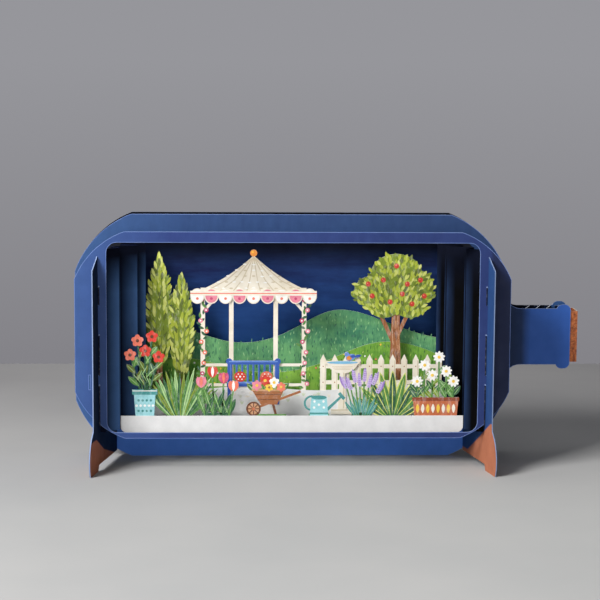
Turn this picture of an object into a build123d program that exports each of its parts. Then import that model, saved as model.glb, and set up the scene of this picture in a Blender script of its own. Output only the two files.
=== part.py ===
from build123d import *
import os
from math import atan2, cos, degrees, hypot, radians, sin, tan

os.makedirs("parts", exist_ok=True)

# A paper pop-up greeting card in the shape of a bottle that lies on its side.
# Millimetres. X runs along the bottle towards the cork, the window faces -Y, Z is up.
# While it is modelled, x = 0 is the middle of the window, y = 0 is the front face of the
# front frame and z = 0 is the table. Everything is moved to the centre of its box at the end.

# ---- Card stock ----
COVER_CARD = 0.5
SCENE_CARD = 0.4
GLUE_LINE = 0.05            # between two slanted faces that are glued together

# ---- Front frame ----
FRONT_WIDTH = 210.0
FRONT_HEIGHT = 100.4
FRONT_BOTTOM = 16.0
FRONT_CUT_X = 23.8          # how far a corner's curve reaches along the top
FRONT_CUT_Z = 22.8          # and down the side
FRONT_BULGE = 3.5           # rise of the curve over the straight line between its ends
WINDOW_WIDTH = 179.4
WINDOW_BOTTOM = 18.9
WINDOW_TOP = 111.2
WINDOW_RADIUS = 5.0
LOCK_SLIT_X = -98.0
LOCK_SLIT_BOTTOM = 40.0
LOCK_SLIT_HEIGHT = 7.0
LOCK_SLIT_WIDTH = 0.8

# ---- Middle frame and back cover, both in the bottle's outline ----
BODY_WIDTH = 215.0
BODY_HEIGHT = 122.0
BODY_CUT_X = 27.8
BODY_CUT_Z = 28.5
BODY_BULGE = 4.3
FRAME_GAP = 33.7            # from the back of the front frame to the middle frame
COVER_GAP = 12.5            # from the back of the middle frame to the back cover
MIDDLE_WINDOW_REVEAL = 2.5  # from the window's edge to the fold of the side wall glued beside it
MIDDLE_WINDOW_BOTTOM = 24.0
MIDDLE_WINDOW_TOP = 112.0
NECK_CENTRE_Z = 60.8
NECK_LENGTH = 33.1
NECK_HEIGHT = 28.5
SHOULDER_RADIUS = 8.0
LIP_LENGTH = 7.2
LIP_HEIGHT = 32.6
LIP_RADIUS = 3.0
CORK_OUT = 3.6              # how far the cork stands out of the lip
CORK_OVERLAP = 2.4          # how much of it is glued inside the lip
CORK_HEIGHT = 25.8

# ---- Neck ribs ----
RIB_COUNT = 4
RIB_PITCH = 5.3
RIB_FIRST_INSET = 10.1      # from the shoulder to the first rib
RIB_SLANT = 4.2             # how far a rib leans towards the cork between the two sheets
RIB_FLANGE = 3.0
RIB_HEIGHT = 28.2

# ---- Side stands: fin, three tabs through the front frame, and foot ----
STAND_OUTSET = 4.3          # from the window's edge to the middle of the board
STAND_SPLAY = 11.0
STAND_SLOT_CLEARANCE = 0.15
FIN_DEPTH = 9.4
FIN_TOP = 104.5
FIN_SHOULDER = 98.6
FIN_BOTTOM = 21.0
TAB_DEPTH = 3.5
UPPER_TAB = (81.2, 89.5)
LOWER_TAB = (47.0, 66.1)
BEAM_TOP_FRONT = 41.7       # the open slot and the beam in it reach this high
BEAM_TOP_BACK = 30.0
FOOT_REACH = 15.2           # from the front frame to the foot's tip
FOOT_BULGE = 0.9            # how far the foot's widest part stands ahead of its tip
FOOT_BULGE_HEIGHT = 10.5
PAD_LENGTH = 14.0
PAD_HEIGHT = 3.0

# ---- Pleated side walls ----
PLEAT_BOTTOM = 19.0
PLEAT_TOP = 108.0
PLEAT_FLANGE = 2.4
PLEAT_OUTSET = 0.9          # from the window's edge to the first fold
RIDGE_INSETS = (5.7, 13.8, 17.1)
VALLEY_INSETS = (1.7, 5.7, 9.2)
FOLD_STEPS = (7.1, 4.8, 6.6, 5.0, 4.5, 5.5)      # how the folds share out the depth
PLEAT_LAST_FLANGE = 4.0
REAR_PLEAT_INSET = 11.5     # from the side of the bottle
REAR_PLEAT_FOLD = 6.0
REAR_PLEAT_FLANGE = 4.0
REAR_PLEAT_BOTTOM = 28.5
REAR_PLEAT_TOP = 93.5

# ---- Scene layers ----
DRAWN_HALF_WIDTH = 72.6     # the scene is drawn for this much room on each side of its middle
LAYER_BEHIND_RIDGE = 0.8    # from a ridge to the middle of the layer that is glued behind it
LAYER_TAB = 4.0
FLOOR_BOTTOM = 17.0
FRONT_FLOOR_TOP = 25.5
FLOOR_RADIUS = 4.0
GROUND_EDGE = 34.0
HILL_CLEARANCE = 0.8
GROUND_OVERLAP = 5.0        # how far the pieces reach down behind the strip that holds them

# ---- Places that follow from the sizes ----
MIDDLE_Y = COVER_CARD + FRAME_GAP
COVER_Y = MIDDLE_Y + COVER_CARD + COVER_GAP
WINDOW_EDGE = WINDOW_WIDTH / 2
FOLD_DEPTHS = [COVER_CARD + (FRAME_GAP - SCENE_CARD / 2) * sum(FOLD_STEPS[:count]) / sum(FOLD_STEPS)
               for count in range(1, len(FOLD_STEPS) + 1)]
RIDGES = [(WINDOW_EDGE - inset, y) for inset, y in zip(RIDGE_INSETS, FOLD_DEPTHS[0::2])]
VALLEYS = [(WINDOW_EDGE - inset, y) for inset, y in zip(VALLEY_INSETS, FOLD_DEPTHS[1::2])]
PLEAT_START_X = WINDOW_EDGE + PLEAT_OUTSET
STAND_X = WINDOW_EDGE + STAND_OUTSET
MIDDLE_WINDOW_WIDTH = 2 * (VALLEYS[-1][0] - MIDDLE_WINDOW_REVEAL)
REAR_PLEAT_X = BODY_WIDTH / 2 - REAR_PLEAT_INSET
NECK_START_X = BODY_WIDTH / 2
RIB_FIRST_X = NECK_START_X + RIB_FIRST_INSET
LIP_END_X = NECK_START_X + NECK_LENGTH
CORK_END_X = LIP_END_X + CORK_OUT
SCENE_SCALE = RIDGES[-1][0] / DRAWN_HALF_WIDTH


# ---- Plane shapes, drawn with x across and y up ----
def bulged_rectangle(width, bottom, height, cut_x, cut_z, bulge):
    """A rectangle whose corners are shallow curves that meet the sides at a slight angle."""
    half = width / 2
    top = bottom + height
    chord = hypot(cut_x, cut_z)
    out_x = cut_z / chord * bulge
    out_z = cut_x / chord * bulge
    edges = []
    for side_x, side_z in ((1, 1), (1, -1), (-1, -1), (-1, 1)):
        level = top if side_z > 0 else bottom
        on_level = (side_x * (half - cut_x), level)
        on_side = (side_x * half, level - side_z * cut_z)
        middle_x = (on_level[0] + on_side[0]) / 2 + side_x * out_x
        middle_z = (on_level[1] + on_side[1]) / 2 + side_z * out_z
        ends = (on_level, on_side) if side_x * side_z > 0 else (on_side, on_level)
        edges.append((ends[0], (middle_x, middle_z), ends[1]))
    lines = []
    for number, corner in enumerate(edges):
        following = edges[(number + 1) % len(edges)]
        lines.append(ThreePointArc(*corner))
        lines.append(Line(corner[2], following[0]))
    return make_face(lines)


def rounded_box(width, bottom, top, radius, centre_x=0.0):
    return Pos(centre_x, (bottom + top) / 2) * RectangleRounded(width, top - bottom, radius)


def plain_box(left, right, bottom, top):
    return Pos((left + right) / 2, (bottom + top) / 2) * Rectangle(right - left, top - bottom)


def polygon(*points):
    return make_face(Polyline(*points, close=True))


def leaf(x, z, length, width, angle):
    """A pointed leaf that grows from (x, z); angle 90 is upright."""
    along = (cos(radians(angle)), sin(radians(angle)))
    across = (-along[1], along[0])
    tip = (x + along[0] * length, z + along[1] * length)
    middle = (x + along[0] * length / 2, z + along[1] * length / 2)
    one_side = (middle[0] + across[0] * width / 2, middle[1] + across[1] * width / 2)
    other_side = (middle[0] - across[0] * width / 2, middle[1] - across[1] * width / 2)
    return make_face([ThreePointArc((x, z), one_side, tip), ThreePointArc(tip, other_side, (x, z))])


def disc(x, z, radius):
    return Pos(x, z) * Circle(radius)


def oval(x, z, half_width, half_height):
    return Pos(x, z) * Ellipse(half_width, half_height)


def stem(x_foot, z_foot, x_top, z_top, width):
    """A straight stalk, branch or post between two points."""
    length = hypot(x_top - x_foot, z_top - z_foot)
    angle = degrees(atan2(z_top - z_foot, x_top - x_foot))
    centre = Pos((x_foot + x_top) / 2, (z_foot + z_top) / 2)
    return centre * Rot(0, 0, angle) * Rectangle(length, width)


def joined(shapes):
    result = shapes[0]
    for shape in shapes[1:]:
        result = result + shape
    return result


# ---- Solids ----
def sheet(shape, front_y, thickness):
    """A flat sheet of card that faces the front, with its front face at front_y."""
    upright = Plane.XZ.offset(-(front_y + thickness)) * shape
    return extrude(upright, amount=thickness, dir=(0, -1, 0))


def offset_line(points, distance):
    """The same folded line, a distance to its left, with mitred folds."""
    headings = [direction(start, end) for start, end in zip(points, points[1:])]
    arriving = [headings[0]] + headings
    leaving = headings + [headings[-1]]
    result = []
    for point, before, after in zip(points, arriving, leaving):
        normal = (-before[1] - after[1], before[0] + after[0])
        length = hypot(*normal)
        half_turn = (before[0] * normal[1] - before[1] * normal[0]) / length
        reach = distance / half_turn / length
        result.append((point[0] + normal[0] * reach, point[1] + normal[1] * reach))
    return result


def direction(start, end):
    length = hypot(end[0] - start[0], end[1] - start[1])
    return ((end[0] - start[0]) / length, (end[1] - start[1]) / length)


def folded_strip(points, thickness, bottom, top):
    """An upright strip of card, folded along a line of points seen from above."""
    left = offset_line(points, thickness / 2)
    right = offset_line(points, -thickness / 2)
    outline = polygon(*left, *reversed(right))
    return extrude(Pos(0, 0, bottom) * outline, amount=top - bottom, dir=(0, 0, 1))


def mirrored(points):
    return [(-x, y) for x, y in reversed(points)]


# ---- Covers ----
def bottle_outline():
    body = bulged_rectangle(BODY_WIDTH, 0, BODY_HEIGHT, BODY_CUT_X, BODY_CUT_Z, BODY_BULGE)
    inside_body = NECK_START_X - BODY_CUT_X
    neck = plain_box(inside_body, LIP_END_X - LIP_LENGTH / 2,
                     NECK_CENTRE_Z - NECK_HEIGHT / 2, NECK_CENTRE_Z + NECK_HEIGHT / 2)
    outline = body + neck
    shoulders = [corner for corner in outline.vertices()
                 if abs(corner.X - NECK_START_X) < 0.01
                 and abs(abs(corner.Y - NECK_CENTRE_Z) - NECK_HEIGHT / 2) < 0.01]
    outline = fillet(shoulders, SHOULDER_RADIUS)
    lip = rounded_box(LIP_LENGTH, NECK_CENTRE_Z - LIP_HEIGHT / 2, NECK_CENTRE_Z + LIP_HEIGHT / 2,
                      LIP_RADIUS, LIP_END_X - LIP_LENGTH / 2)
    return outline + lip


def stand_x(y):
    """The middle of the right stand's card at a depth y."""
    return STAND_X - y * tan(radians(STAND_SPLAY))


def slot_width():
    splay = radians(STAND_SPLAY)
    return COVER_CARD / cos(splay) + COVER_CARD * tan(splay) + 2 * STAND_SLOT_CLEARANCE


def front_frame():
    outline = bulged_rectangle(FRONT_WIDTH, FRONT_BOTTOM, FRONT_HEIGHT,
                               FRONT_CUT_X, FRONT_CUT_Z, FRONT_BULGE)
    outline -= rounded_box(WINDOW_WIDTH, WINDOW_BOTTOM, WINDOW_TOP, WINDOW_RADIUS)
    middle_of_card = stand_x(COVER_CARD / 2)
    half_slot = slot_width() / 2
    below_frame = FRONT_BOTTOM - PAD_HEIGHT
    spans = [UPPER_TAB, LOWER_TAB, (below_frame, BEAM_TOP_FRONT)]
    for side in (-1, 1):
        for low, high in spans:
            centre = side * middle_of_card
            outline -= plain_box(centre - half_slot, centre + half_slot,
                                 low - STAND_SLOT_CLEARANCE, high + STAND_SLOT_CLEARANCE)
    outline -= plain_box(LOCK_SLIT_X - LOCK_SLIT_WIDTH / 2, LOCK_SLIT_X + LOCK_SLIT_WIDTH / 2,
                         LOCK_SLIT_BOTTOM, LOCK_SLIT_BOTTOM + LOCK_SLIT_HEIGHT)
    return sheet(outline, 0, COVER_CARD)


def middle_frame():
    window = rounded_box(MIDDLE_WINDOW_WIDTH, MIDDLE_WINDOW_BOTTOM, MIDDLE_WINDOW_TOP,
                         WINDOW_RADIUS)
    return sheet(bottle_outline() - window, MIDDLE_Y, COVER_CARD)


def back_cover():
    return sheet(bottle_outline(), COVER_Y, COVER_CARD)


# ---- Stands ----
def side_stand(side):
    """A board through the front frame: side is 1 on the right and -1 on the left."""
    lean = cos(radians(STAND_SPLAY))
    off_frame = STAND_SLOT_CLEARANCE / lean
    behind_frame = COVER_CARD / lean + TAB_DEPTH
    back = (MIDDLE_Y - 2 * STAND_SLOT_CLEARANCE) / lean
    foot_back = PAD_LENGTH - FOOT_REACH
    fin = polygon((-off_frame, FIN_TOP), (-off_frame, FIN_BOTTOM), (-FIN_DEPTH, FIN_BOTTOM),
                  (-FIN_DEPTH, FIN_SHOULDER))
    widest = (-FOOT_REACH - FOOT_BULGE, FOOT_BULGE_HEIGHT)
    foot = make_face([
        ThreePointArc((-FIN_DEPTH, FIN_BOTTOM), widest, (-FOOT_REACH, 0)),
        Polyline((-FOOT_REACH, 0), (foot_back, 0), (foot_back + PAD_HEIGHT / 2, PAD_HEIGHT),
                 (back, PAD_HEIGHT), (back, BEAM_TOP_BACK), (behind_frame, BEAM_TOP_FRONT),
                 (-off_frame, BEAM_TOP_FRONT), (-off_frame, FIN_BOTTOM),
                 (-FIN_DEPTH, FIN_BOTTOM)),
    ])
    tabs = [plain_box(-FIN_DEPTH / 2, behind_frame, low, high) for low, high in (UPPER_TAB, LOWER_TAB)]
    board = joined([fin, foot] + tabs)
    solid = sheet(board, -COVER_CARD / 2, COVER_CARD)
    upright = Rot(0, 0, 90 + STAND_SPLAY) * solid
    placed = Pos(STAND_X, 0, 0) * upright
    return placed if side > 0 else mirror(placed, about=Plane.YZ)


# ---- Side walls and ribs ----
def front_pleat_line():
    first_y = COVER_CARD + SCENE_CARD / 2
    points = [(PLEAT_START_X + PLEAT_FLANGE, first_y), (PLEAT_START_X, first_y)]
    for ridge, valley in zip(RIDGES, VALLEYS):
        points.append(ridge)
        points.append(valley)
    points.append((VALLEYS[-1][0] + PLEAT_LAST_FLANGE, VALLEYS[-1][1]))
    return points


def front_pleat(side):
    points = front_pleat_line()
    return folded_strip(points if side > 0 else mirrored(points), SCENE_CARD,
                        PLEAT_BOTTOM, PLEAT_TOP)


def rear_pleat(side):
    near_y = MIDDLE_Y + COVER_CARD + SCENE_CARD / 2
    far_y = COVER_Y - SCENE_CARD / 2
    outer = REAR_PLEAT_X + REAR_PLEAT_FLANGE
    points = [(outer, near_y), (REAR_PLEAT_X, near_y),
              (REAR_PLEAT_X - REAR_PLEAT_FOLD, (near_y + far_y) / 2),
              (REAR_PLEAT_X, far_y), (outer, far_y)]
    return folded_strip(points if side > 0 else mirrored(points), SCENE_CARD,
                        REAR_PLEAT_BOTTOM, REAR_PLEAT_TOP)


def neck_rib(number):
    near_y = MIDDLE_Y + COVER_CARD + SCENE_CARD / 2
    far_y = COVER_Y - SCENE_CARD / 2
    x = RIB_FIRST_X + number * RIB_PITCH
    points = [(x - RIB_FLANGE, near_y), (x, near_y), (x + RIB_SLANT, far_y),
              (x + RIB_SLANT - RIB_FLANGE, far_y)]
    return folded_strip(points, SCENE_CARD,
                        NECK_CENTRE_Z - RIB_HEIGHT / 2, NECK_CENTRE_Z + RIB_HEIGHT / 2)


def cork_band():
    near_y = MIDDLE_Y + COVER_CARD + SCENE_CARD / 2
    far_y = COVER_Y - SCENE_CARD / 2
    inner = LIP_END_X - CORK_OVERLAP
    end = CORK_END_X - SCENE_CARD / 2
    points = [(inner, near_y), (end, near_y), (end, far_y), (inner, far_y)]
    return folded_strip(points, SCENE_CARD,
                        NECK_CENTRE_Z - CORK_HEIGHT / 2, NECK_CENTRE_Z + CORK_HEIGHT / 2)


# ---- Scene layers ----
def fitted(shape, foot):
    """A drawn shape, grown or shrunk about its foot to the room between the side walls."""
    return Pos(0, foot) * scale(Pos(0, -foot) * shape, by=SCENE_SCALE)


def layer_y(number):
    """The middle of the layer that is glued behind ridge number 0, 1 or 2."""
    return RIDGES[number][1] + LAYER_BEHIND_RIDGE


def layer_front(number):
    return layer_y(number) - SCENE_CARD / 2


def layer_end(number):
    """The fold between a layer and its tab, and the tab's own direction, on the right."""
    ridge = RIDGES[number]
    valley = VALLEYS[number]
    along = direction(ridge, valley)
    spacing = SCENE_CARD + GLUE_LINE
    start = (ridge[0] - along[1] * spacing, ridge[1] + along[0] * spacing)
    run = (layer_y(number) - start[1]) / along[1]
    return start[0] + run * along[0], along


def layer_tab(number, side, bottom, top):
    """The folded end of a layer, with a short flat piece that belongs to the layer."""
    fold_x, along = layer_end(number)
    y = layer_y(number)
    points = [(fold_x - LAYER_TAB, y), (fold_x, y),
              (fold_x + along[0] * LAYER_TAB, y + along[1] * LAYER_TAB)]
    return folded_strip(points if side > 0 else mirrored(points), SCENE_CARD, bottom, top)


def front_floor_strip():
    half = layer_end(0)[0]
    strip = rounded_box(2 * half, FLOOR_BOTTOM, FRONT_FLOOR_TOP + FLOOR_RADIUS, FLOOR_RADIUS)
    strip -= plain_box(-half, half, FRONT_FLOOR_TOP, FRONT_FLOOR_TOP + 2 * FLOOR_RADIUS)
    solid = sheet(strip, layer_front(0), SCENE_CARD)
    for side in (-1, 1):
        solid += layer_tab(0, side, FLOOR_BOTTOM + FLOOR_RADIUS, FRONT_FLOOR_TOP)
    return solid


def second_floor_strip():
    half = layer_end(1)[0]
    top = Spline((half, GROUND_EDGE), (half * 0.62, GROUND_EDGE + 5), (half * 0.2, GROUND_EDGE + 2),
                 (-half * 0.3, GROUND_EDGE + 4), (-half * 0.7, GROUND_EDGE + 1.5),
                 (-half, GROUND_EDGE))
    sides = Polyline((-half, GROUND_EDGE), (-half, FLOOR_BOTTOM), (half, FLOOR_BOTTOM),
                     (half, GROUND_EDGE))
    solid = sheet(make_face([top, sides]), layer_front(1), SCENE_CARD)
    for side in (-1, 1):
        solid += layer_tab(1, side, FLOOR_BOTTOM, GROUND_EDGE)
    return solid


def hill(points, bottom):
    """A stretch of hills: a smooth line through the points, closed along the bottom."""
    left = points[0]
    right = points[-1]
    return make_face([Spline(*points), Polyline(right, (right[0], bottom), (left[0], bottom), left)])


def near_hill():
    half = VALLEYS[-1][0] - HILL_CLEARANCE
    tops = [(x * SCENE_SCALE, z) for x, z in ((-52, 50), (-18, 43), (14, 47), (44, 58), (66, 55))]
    points = [(-half, 44), *tops, (half, 48)]
    return sheet(hill(points, FLOOR_BOTTOM), MIDDLE_Y - SCENE_CARD, SCENE_CARD)


def far_hills():
    half = MIDDLE_WINDOW_WIDTH / 2 + 2 * REAR_PLEAT_FLANGE
    tops = [(x * SCENE_SCALE, z) for x, z in ((-58, 66), (-30, 58), (-4, 62), (22, 74), (48, 68))]
    points = [(-half, 60), *tops, (half, 60)]
    return sheet(hill(points, FLOOR_BOTTOM), MIDDLE_Y + COVER_CARD, SCENE_CARD)


# ---- Trees ----
POPLARS = ((-65.5, 46.0, 104.0, 5.6), (-54.5, 40.0, 94.0, 5.0))      # x, crown from, to, half width
OAK_X = 52.0
OAK_CROWN = ((52, 92, 13, 11), (40, 84, 9, 8), (62.5, 86, 8, 9), (46, 77, 8, 6), (59, 77, 8, 6))
TREE_FOOT = 21.0


def left_tree_trunks():
    fold_x = layer_end(2)[0]
    ground = plain_box(-fold_x, (POPLARS[1][0] + 4) * SCENE_SCALE, TREE_FOOT, TREE_FOOT + 14)
    shapes = []
    for x, low, high, half in POPLARS:
        shapes.append(polygon((x - 1.7, TREE_FOOT), (x + 1.7, TREE_FOOT), (x + 0.9, high - 8),
                              (x - 0.9, high - 8)))
        shapes.append(stem(x, low + 2, x - half * 0.6, low + 12, 1.0))
        shapes.append(stem(x, low + 5, x + half * 0.6, low + 15, 1.0))
    trunks = fitted(joined(shapes), TREE_FOOT)
    solid = sheet(ground + trunks, layer_front(2), SCENE_CARD)
    return solid + layer_tab(2, -1, TREE_FOOT, TREE_FOOT + 14)


def poplar_crown(x, low, high, half):
    crown = leaf(x, low, high - low, 2 * half, 90)
    crown += oval(x, (low + high) / 2 - 6, half, (high - low) * 0.30)
    return sheet(fitted(crown, TREE_FOOT), layer_front(2) - SCENE_CARD, SCENE_CARD)


def right_tree_trunk():
    fold_x = layer_end(2)[0]
    ground = plain_box((OAK_X - 12) * SCENE_SCALE, fold_x, TREE_FOOT, TREE_FOOT + 14)
    shapes = [polygon((OAK_X - 4, TREE_FOOT), (OAK_X + 4, TREE_FOOT), (OAK_X + 2.2, 60),
                      (OAK_X + 1.6, 84), (OAK_X - 1.6, 84), (OAK_X - 2.4, 60)),
              stem(OAK_X, 56, OAK_X - 11, 80, 2.0),
              stem(OAK_X, 60, OAK_X + 10, 82, 1.8),
              stem(OAK_X, 68, OAK_X - 5, 86, 1.4)]
    trunk = fitted(joined(shapes), TREE_FOOT)
    solid = sheet(ground + trunk, layer_front(2), SCENE_CARD)
    return solid + layer_tab(2, 1, TREE_FOOT, TREE_FOOT + 14)


def right_tree_crown():
    shapes = [oval(*lobe) for lobe in OAK_CROWN]
    return sheet(fitted(joined(shapes), TREE_FOOT), layer_front(2) - SCENE_CARD, SCENE_CARD)


# ---- Pavilion ----
PAVILION_X = -19.0
PAVILION_HALF = 26.0
ROOF_HALF = 31.0
ROOF_LOW = 84.0
ROOF_HIGH = 103.0
POST_WIDTH = 2.2
FINIAL_RADIUS = 1.7
VALANCE_DEPTH = 6.0
SCALLOPS = 9


def pavilion_posts():
    foot = GROUND_EDGE - GROUND_OVERLAP
    shapes = [plain_box(PAVILION_X - PAVILION_HALF, PAVILION_X + PAVILION_HALF, foot, foot + 4),
              plain_box(PAVILION_X - PAVILION_HALF, PAVILION_X + PAVILION_HALF,
                        ROOF_LOW - 2, ROOF_LOW + 3)]
    for side in (-1, 1):
        outer = PAVILION_X + side * (PAVILION_HALF - POST_WIDTH / 2)
        inner = PAVILION_X + side * PAVILION_HALF * 0.42
        for x in (outer, inner):
            shapes.append(stem(x, foot, x, ROOF_LOW, POST_WIDTH))
        rail_left = min(outer, inner)
        rail_right = max(outer, inner)
        for z in (GROUND_EDGE + 4, GROUND_EDGE + 14):
            shapes.append(plain_box(rail_left, rail_right, z, z + 1.4))
        shapes.append(stem(outer, ROOF_LOW - 9, outer - side * 8, ROOF_LOW, 1.4))
    return sheet(fitted(joined(shapes), GROUND_EDGE), layer_front(1) + SCENE_CARD, SCENE_CARD)


def pavilion_roof():
    left = PAVILION_X - ROOF_HALF
    right = PAVILION_X + ROOF_HALF
    middle_z = (ROOF_LOW + ROOF_HIGH) / 2
    sag = 1.6
    roof = make_face([
        ThreePointArc((left, ROOF_LOW), ((left + PAVILION_X) / 2 + 1, middle_z - sag),
                      (PAVILION_X, ROOF_HIGH)),
        ThreePointArc((PAVILION_X, ROOF_HIGH), ((right + PAVILION_X) / 2 - 1, middle_z - sag),
                      (right, ROOF_LOW)),
        Line((right, ROOF_LOW), (left, ROOF_LOW)),
    ])
    finial = disc(PAVILION_X, ROOF_HIGH + FINIAL_RADIUS * 0.7, FINIAL_RADIUS)
    return sheet(fitted(roof + finial, GROUND_EDGE), layer_front(1), SCENE_CARD)


def roof_valance():
    left = PAVILION_X - ROOF_HALF
    pitch = 2 * ROOF_HALF / SCALLOPS
    shapes = [plain_box(left, PAVILION_X + ROOF_HALF, ROOF_LOW - 1.0, ROOF_LOW + 1.6)]
    for number in range(SCALLOPS):
        x = left + (number + 0.5) * pitch
        shapes.append(oval(x, ROOF_LOW - 1.0, pitch / 2, VALANCE_DEPTH - 2.2))
    return sheet(fitted(joined(shapes), GROUND_EDGE), layer_front(1) - SCENE_CARD, SCENE_CARD)


# ---- Garden furniture on the second floor strip ----
def garden_bench():
    left = PAVILION_X - 13
    right = PAVILION_X + 13
    foot = GROUND_EDGE - GROUND_OVERLAP
    shapes = [plain_box(left, right, foot + 9, foot + 11.4),
              plain_box(left + 1, right - 1, foot + 20, foot + 22)]
    for number in range(9):
        x = left + 2 + number * (right - left - 4) / 8
        shapes.append(stem(x, foot + 9, x, foot + 21, 1.0))
    for x in (left + 1, right - 1):
        shapes.append(stem(x, foot, x, foot + 21, 1.5))
        shapes.append(disc(x, foot + 21.6, 1.5))
    return sheet(fitted(joined(shapes), GROUND_EDGE), layer_front(1) - SCENE_CARD, SCENE_CARD)


FENCE_LEFT = 14.0
FENCE_PICKETS = 11
PICKET_WIDTH = 3.0


def picket_fence():
    left = FENCE_LEFT * SCENE_SCALE
    right = layer_end(1)[0] - LAYER_TAB / 2
    pitch = (right - left - PICKET_WIDTH) / (FENCE_PICKETS - 1)
    foot = GROUND_EDGE - GROUND_OVERLAP
    shapes = [plain_box(left, right, foot + 10, foot + 12),
              plain_box(left, right, foot + 18, foot + 20)]
    for number in range(FENCE_PICKETS):
        x = left + PICKET_WIDTH / 2 + number * pitch
        half = PICKET_WIDTH / 2
        shapes.append(polygon((x - half, foot), (x + half, foot), (x + half, foot + 22),
                              (x, foot + 25), (x - half, foot + 22)))
    return sheet(joined(shapes), layer_front(1) + SCENE_CARD, SCENE_CARD)


BIRDBATH_X = 25.0


def birdbath():
    foot = GROUND_EDGE - 2 * GROUND_OVERLAP
    bowl = make_face([Line((BIRDBATH_X - 8, foot + 26), (BIRDBATH_X + 8, foot + 26)),
                      ThreePointArc((BIRDBATH_X + 8, foot + 26), (BIRDBATH_X, foot + 20.5),
                                    (BIRDBATH_X - 8, foot + 26))])
    shapes = [bowl,
              polygon((BIRDBATH_X - 1.2, foot + 22), (BIRDBATH_X + 1.2, foot + 22),
                      (BIRDBATH_X + 2.2, foot + 2), (BIRDBATH_X - 2.2, foot + 2)),
              plain_box(BIRDBATH_X - 5.5, BIRDBATH_X + 5.5, foot, foot + 2.6),
              plain_box(BIRDBATH_X - 8.6, BIRDBATH_X + 8.6, foot + 25.2, foot + 26.8)]
    return sheet(fitted(joined(shapes), GROUND_EDGE), layer_front(1) - SCENE_CARD, SCENE_CARD)


# ---- Front garden, glued behind the front floor strip ----
PLANT_FOOT = 20.5


def front_piece(shapes, row=1):
    """A piece of the first row is glued to the strip, and one of the second row behind the first."""
    piece = fitted(joined(shapes), FRONT_FLOOR_TOP)
    return sheet(piece, layer_front(0) + row * SCENE_CARD, SCENE_CARD)


def pot(x, half_top, half_foot, height):
    foot = FRONT_FLOOR_TOP
    return [polygon((x - half_foot, PLANT_FOOT), (x + half_foot, PLANT_FOOT),
                    (x + half_foot, foot), (x + half_top, foot + height),
                    (x - half_top, foot + height), (x - half_foot, foot)),
            plain_box(x - half_top - 0.8, x + half_top + 0.8, foot + height - 2.4, foot + height)]


def daisy_pot():
    x = -72.0
    rim = FRONT_FLOOR_TOP + 13
    shapes = pot(x, 5.4, 4.2, 13)
    for lean, length in ((-7.0, 17.0), (-3.4, 24.0), (0.4, 19.0), (3.6, 26.0), (6.8, 16.0)):
        shapes.append(stem(x + lean * 0.3, rim - 1, x + lean, rim + length, 0.9))
        shapes.append(disc(x + lean, rim + length, 2.7))
        shapes.append(leaf(x + lean * 0.4, rim + 1, 11, 3.4, 90 - lean * 6 + 16))
        shapes.append(leaf(x + lean * 0.4, rim - 1, 9, 3.0, 90 - lean * 6 - 20))
    return front_piece(shapes)


def fan_plant(x, foot, blades, length, width, spread):
    """Blades that fan out of one root."""
    shapes = [plain_box(x - 3, x + 3, PLANT_FOOT, foot + 2)]
    for number in range(blades):
        part = number / (blades - 1) - 0.5
        reach = length * (1 - 0.9 * part * part)
        shapes.append(leaf(x + part * 4, foot - 1.5, reach, width, 90 - part * spread))
    return shapes


def tall_grass():
    return front_piece(fan_plant(-55.0, FRONT_FLOOR_TOP, 9, 27, 2.8, 90), 2)


def striped_plant():
    return front_piece(fan_plant(49.0, FRONT_FLOOR_TOP, 7, 24, 4.6, 110), 2)


def tulip_clump():
    foot = FRONT_FLOOR_TOP
    shapes = [plain_box(-44, -30, PLANT_FOOT, foot + 1.5)]
    for x, height, lean in ((-42.5, 15, -2.0), (-38.4, 20, -0.6), (-34.4, 17, 0.8), (-31.2, 13, 2.4)):
        shapes.append(stem(x, foot - 1, x + lean, foot + height, 0.9))
        shapes.append(leaf(x + lean, foot + height - 1.5, 7.0, 5.0, 90))
        shapes.append(leaf(x, foot, height * 0.8, 2.6, 108))
        shapes.append(leaf(x, foot, height * 0.7, 2.6, 70))
    return front_piece(shapes)


def wheelbarrow():
    foot = FRONT_FLOOR_TOP
    x = -11.0
    shapes = [plain_box(x - 8, x + 8, PLANT_FOOT, foot + 0.8),
              disc(x - 8.0, foot + 3.4, 3.6),
              polygon((x - 9, foot + 13), (x + 7, foot + 13), (x + 3.5, foot + 5.5), (x - 4.5, foot + 5.5)),
              stem(x - 8, foot + 3.4, x + 15, foot + 12, 1.2),
              stem(x + 4, foot, x + 2.5, foot + 8, 1.3)]
    for dx, dz, radius in ((-6.4, 15, 2.8), (-2.2, 17.2, 3.0), (2.2, 16.4, 2.8), (5.4, 14.2, 2.3)):
        shapes.append(disc(x + dx, foot + dz, radius))
    return front_piece(shapes)


def watering_can():
    foot = FRONT_FLOOR_TOP
    x = 13.0
    shapes = [plain_box(x - 4, x + 4, PLANT_FOOT, foot + 1),
              polygon((x - 4.6, foot), (x + 4.6, foot), (x + 3.8, foot + 9), (x - 3.8, foot + 9)),
              stem(x + 3, foot + 2, x + 11, foot + 9.6, 1.5),
              stem(x + 9.8, foot + 11.2, x + 12.4, foot + 8.2, 1.6),
              disc(x - 4.2, foot + 6.2, 3.8) - disc(x - 4.6, foot + 6.2, 2.5),
              disc(x, foot + 9, 3.8)]
    return front_piece(shapes)


def lavender_clump():
    foot = FRONT_FLOOR_TOP
    shapes = [plain_box(29, 39, PLANT_FOOT, foot + 1.5)]
    for number in range(7):
        part = number / 6 - 0.5
        x = 34 + part * 7
        top_x = x + part * 9
        height = 19 - 14 * part * part
        shapes.append(stem(x, foot, top_x, foot + height, 0.8))
        shapes.append(oval(top_x, foot + height + 1, 1.2, 3.6))
    return front_piece(shapes)


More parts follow.
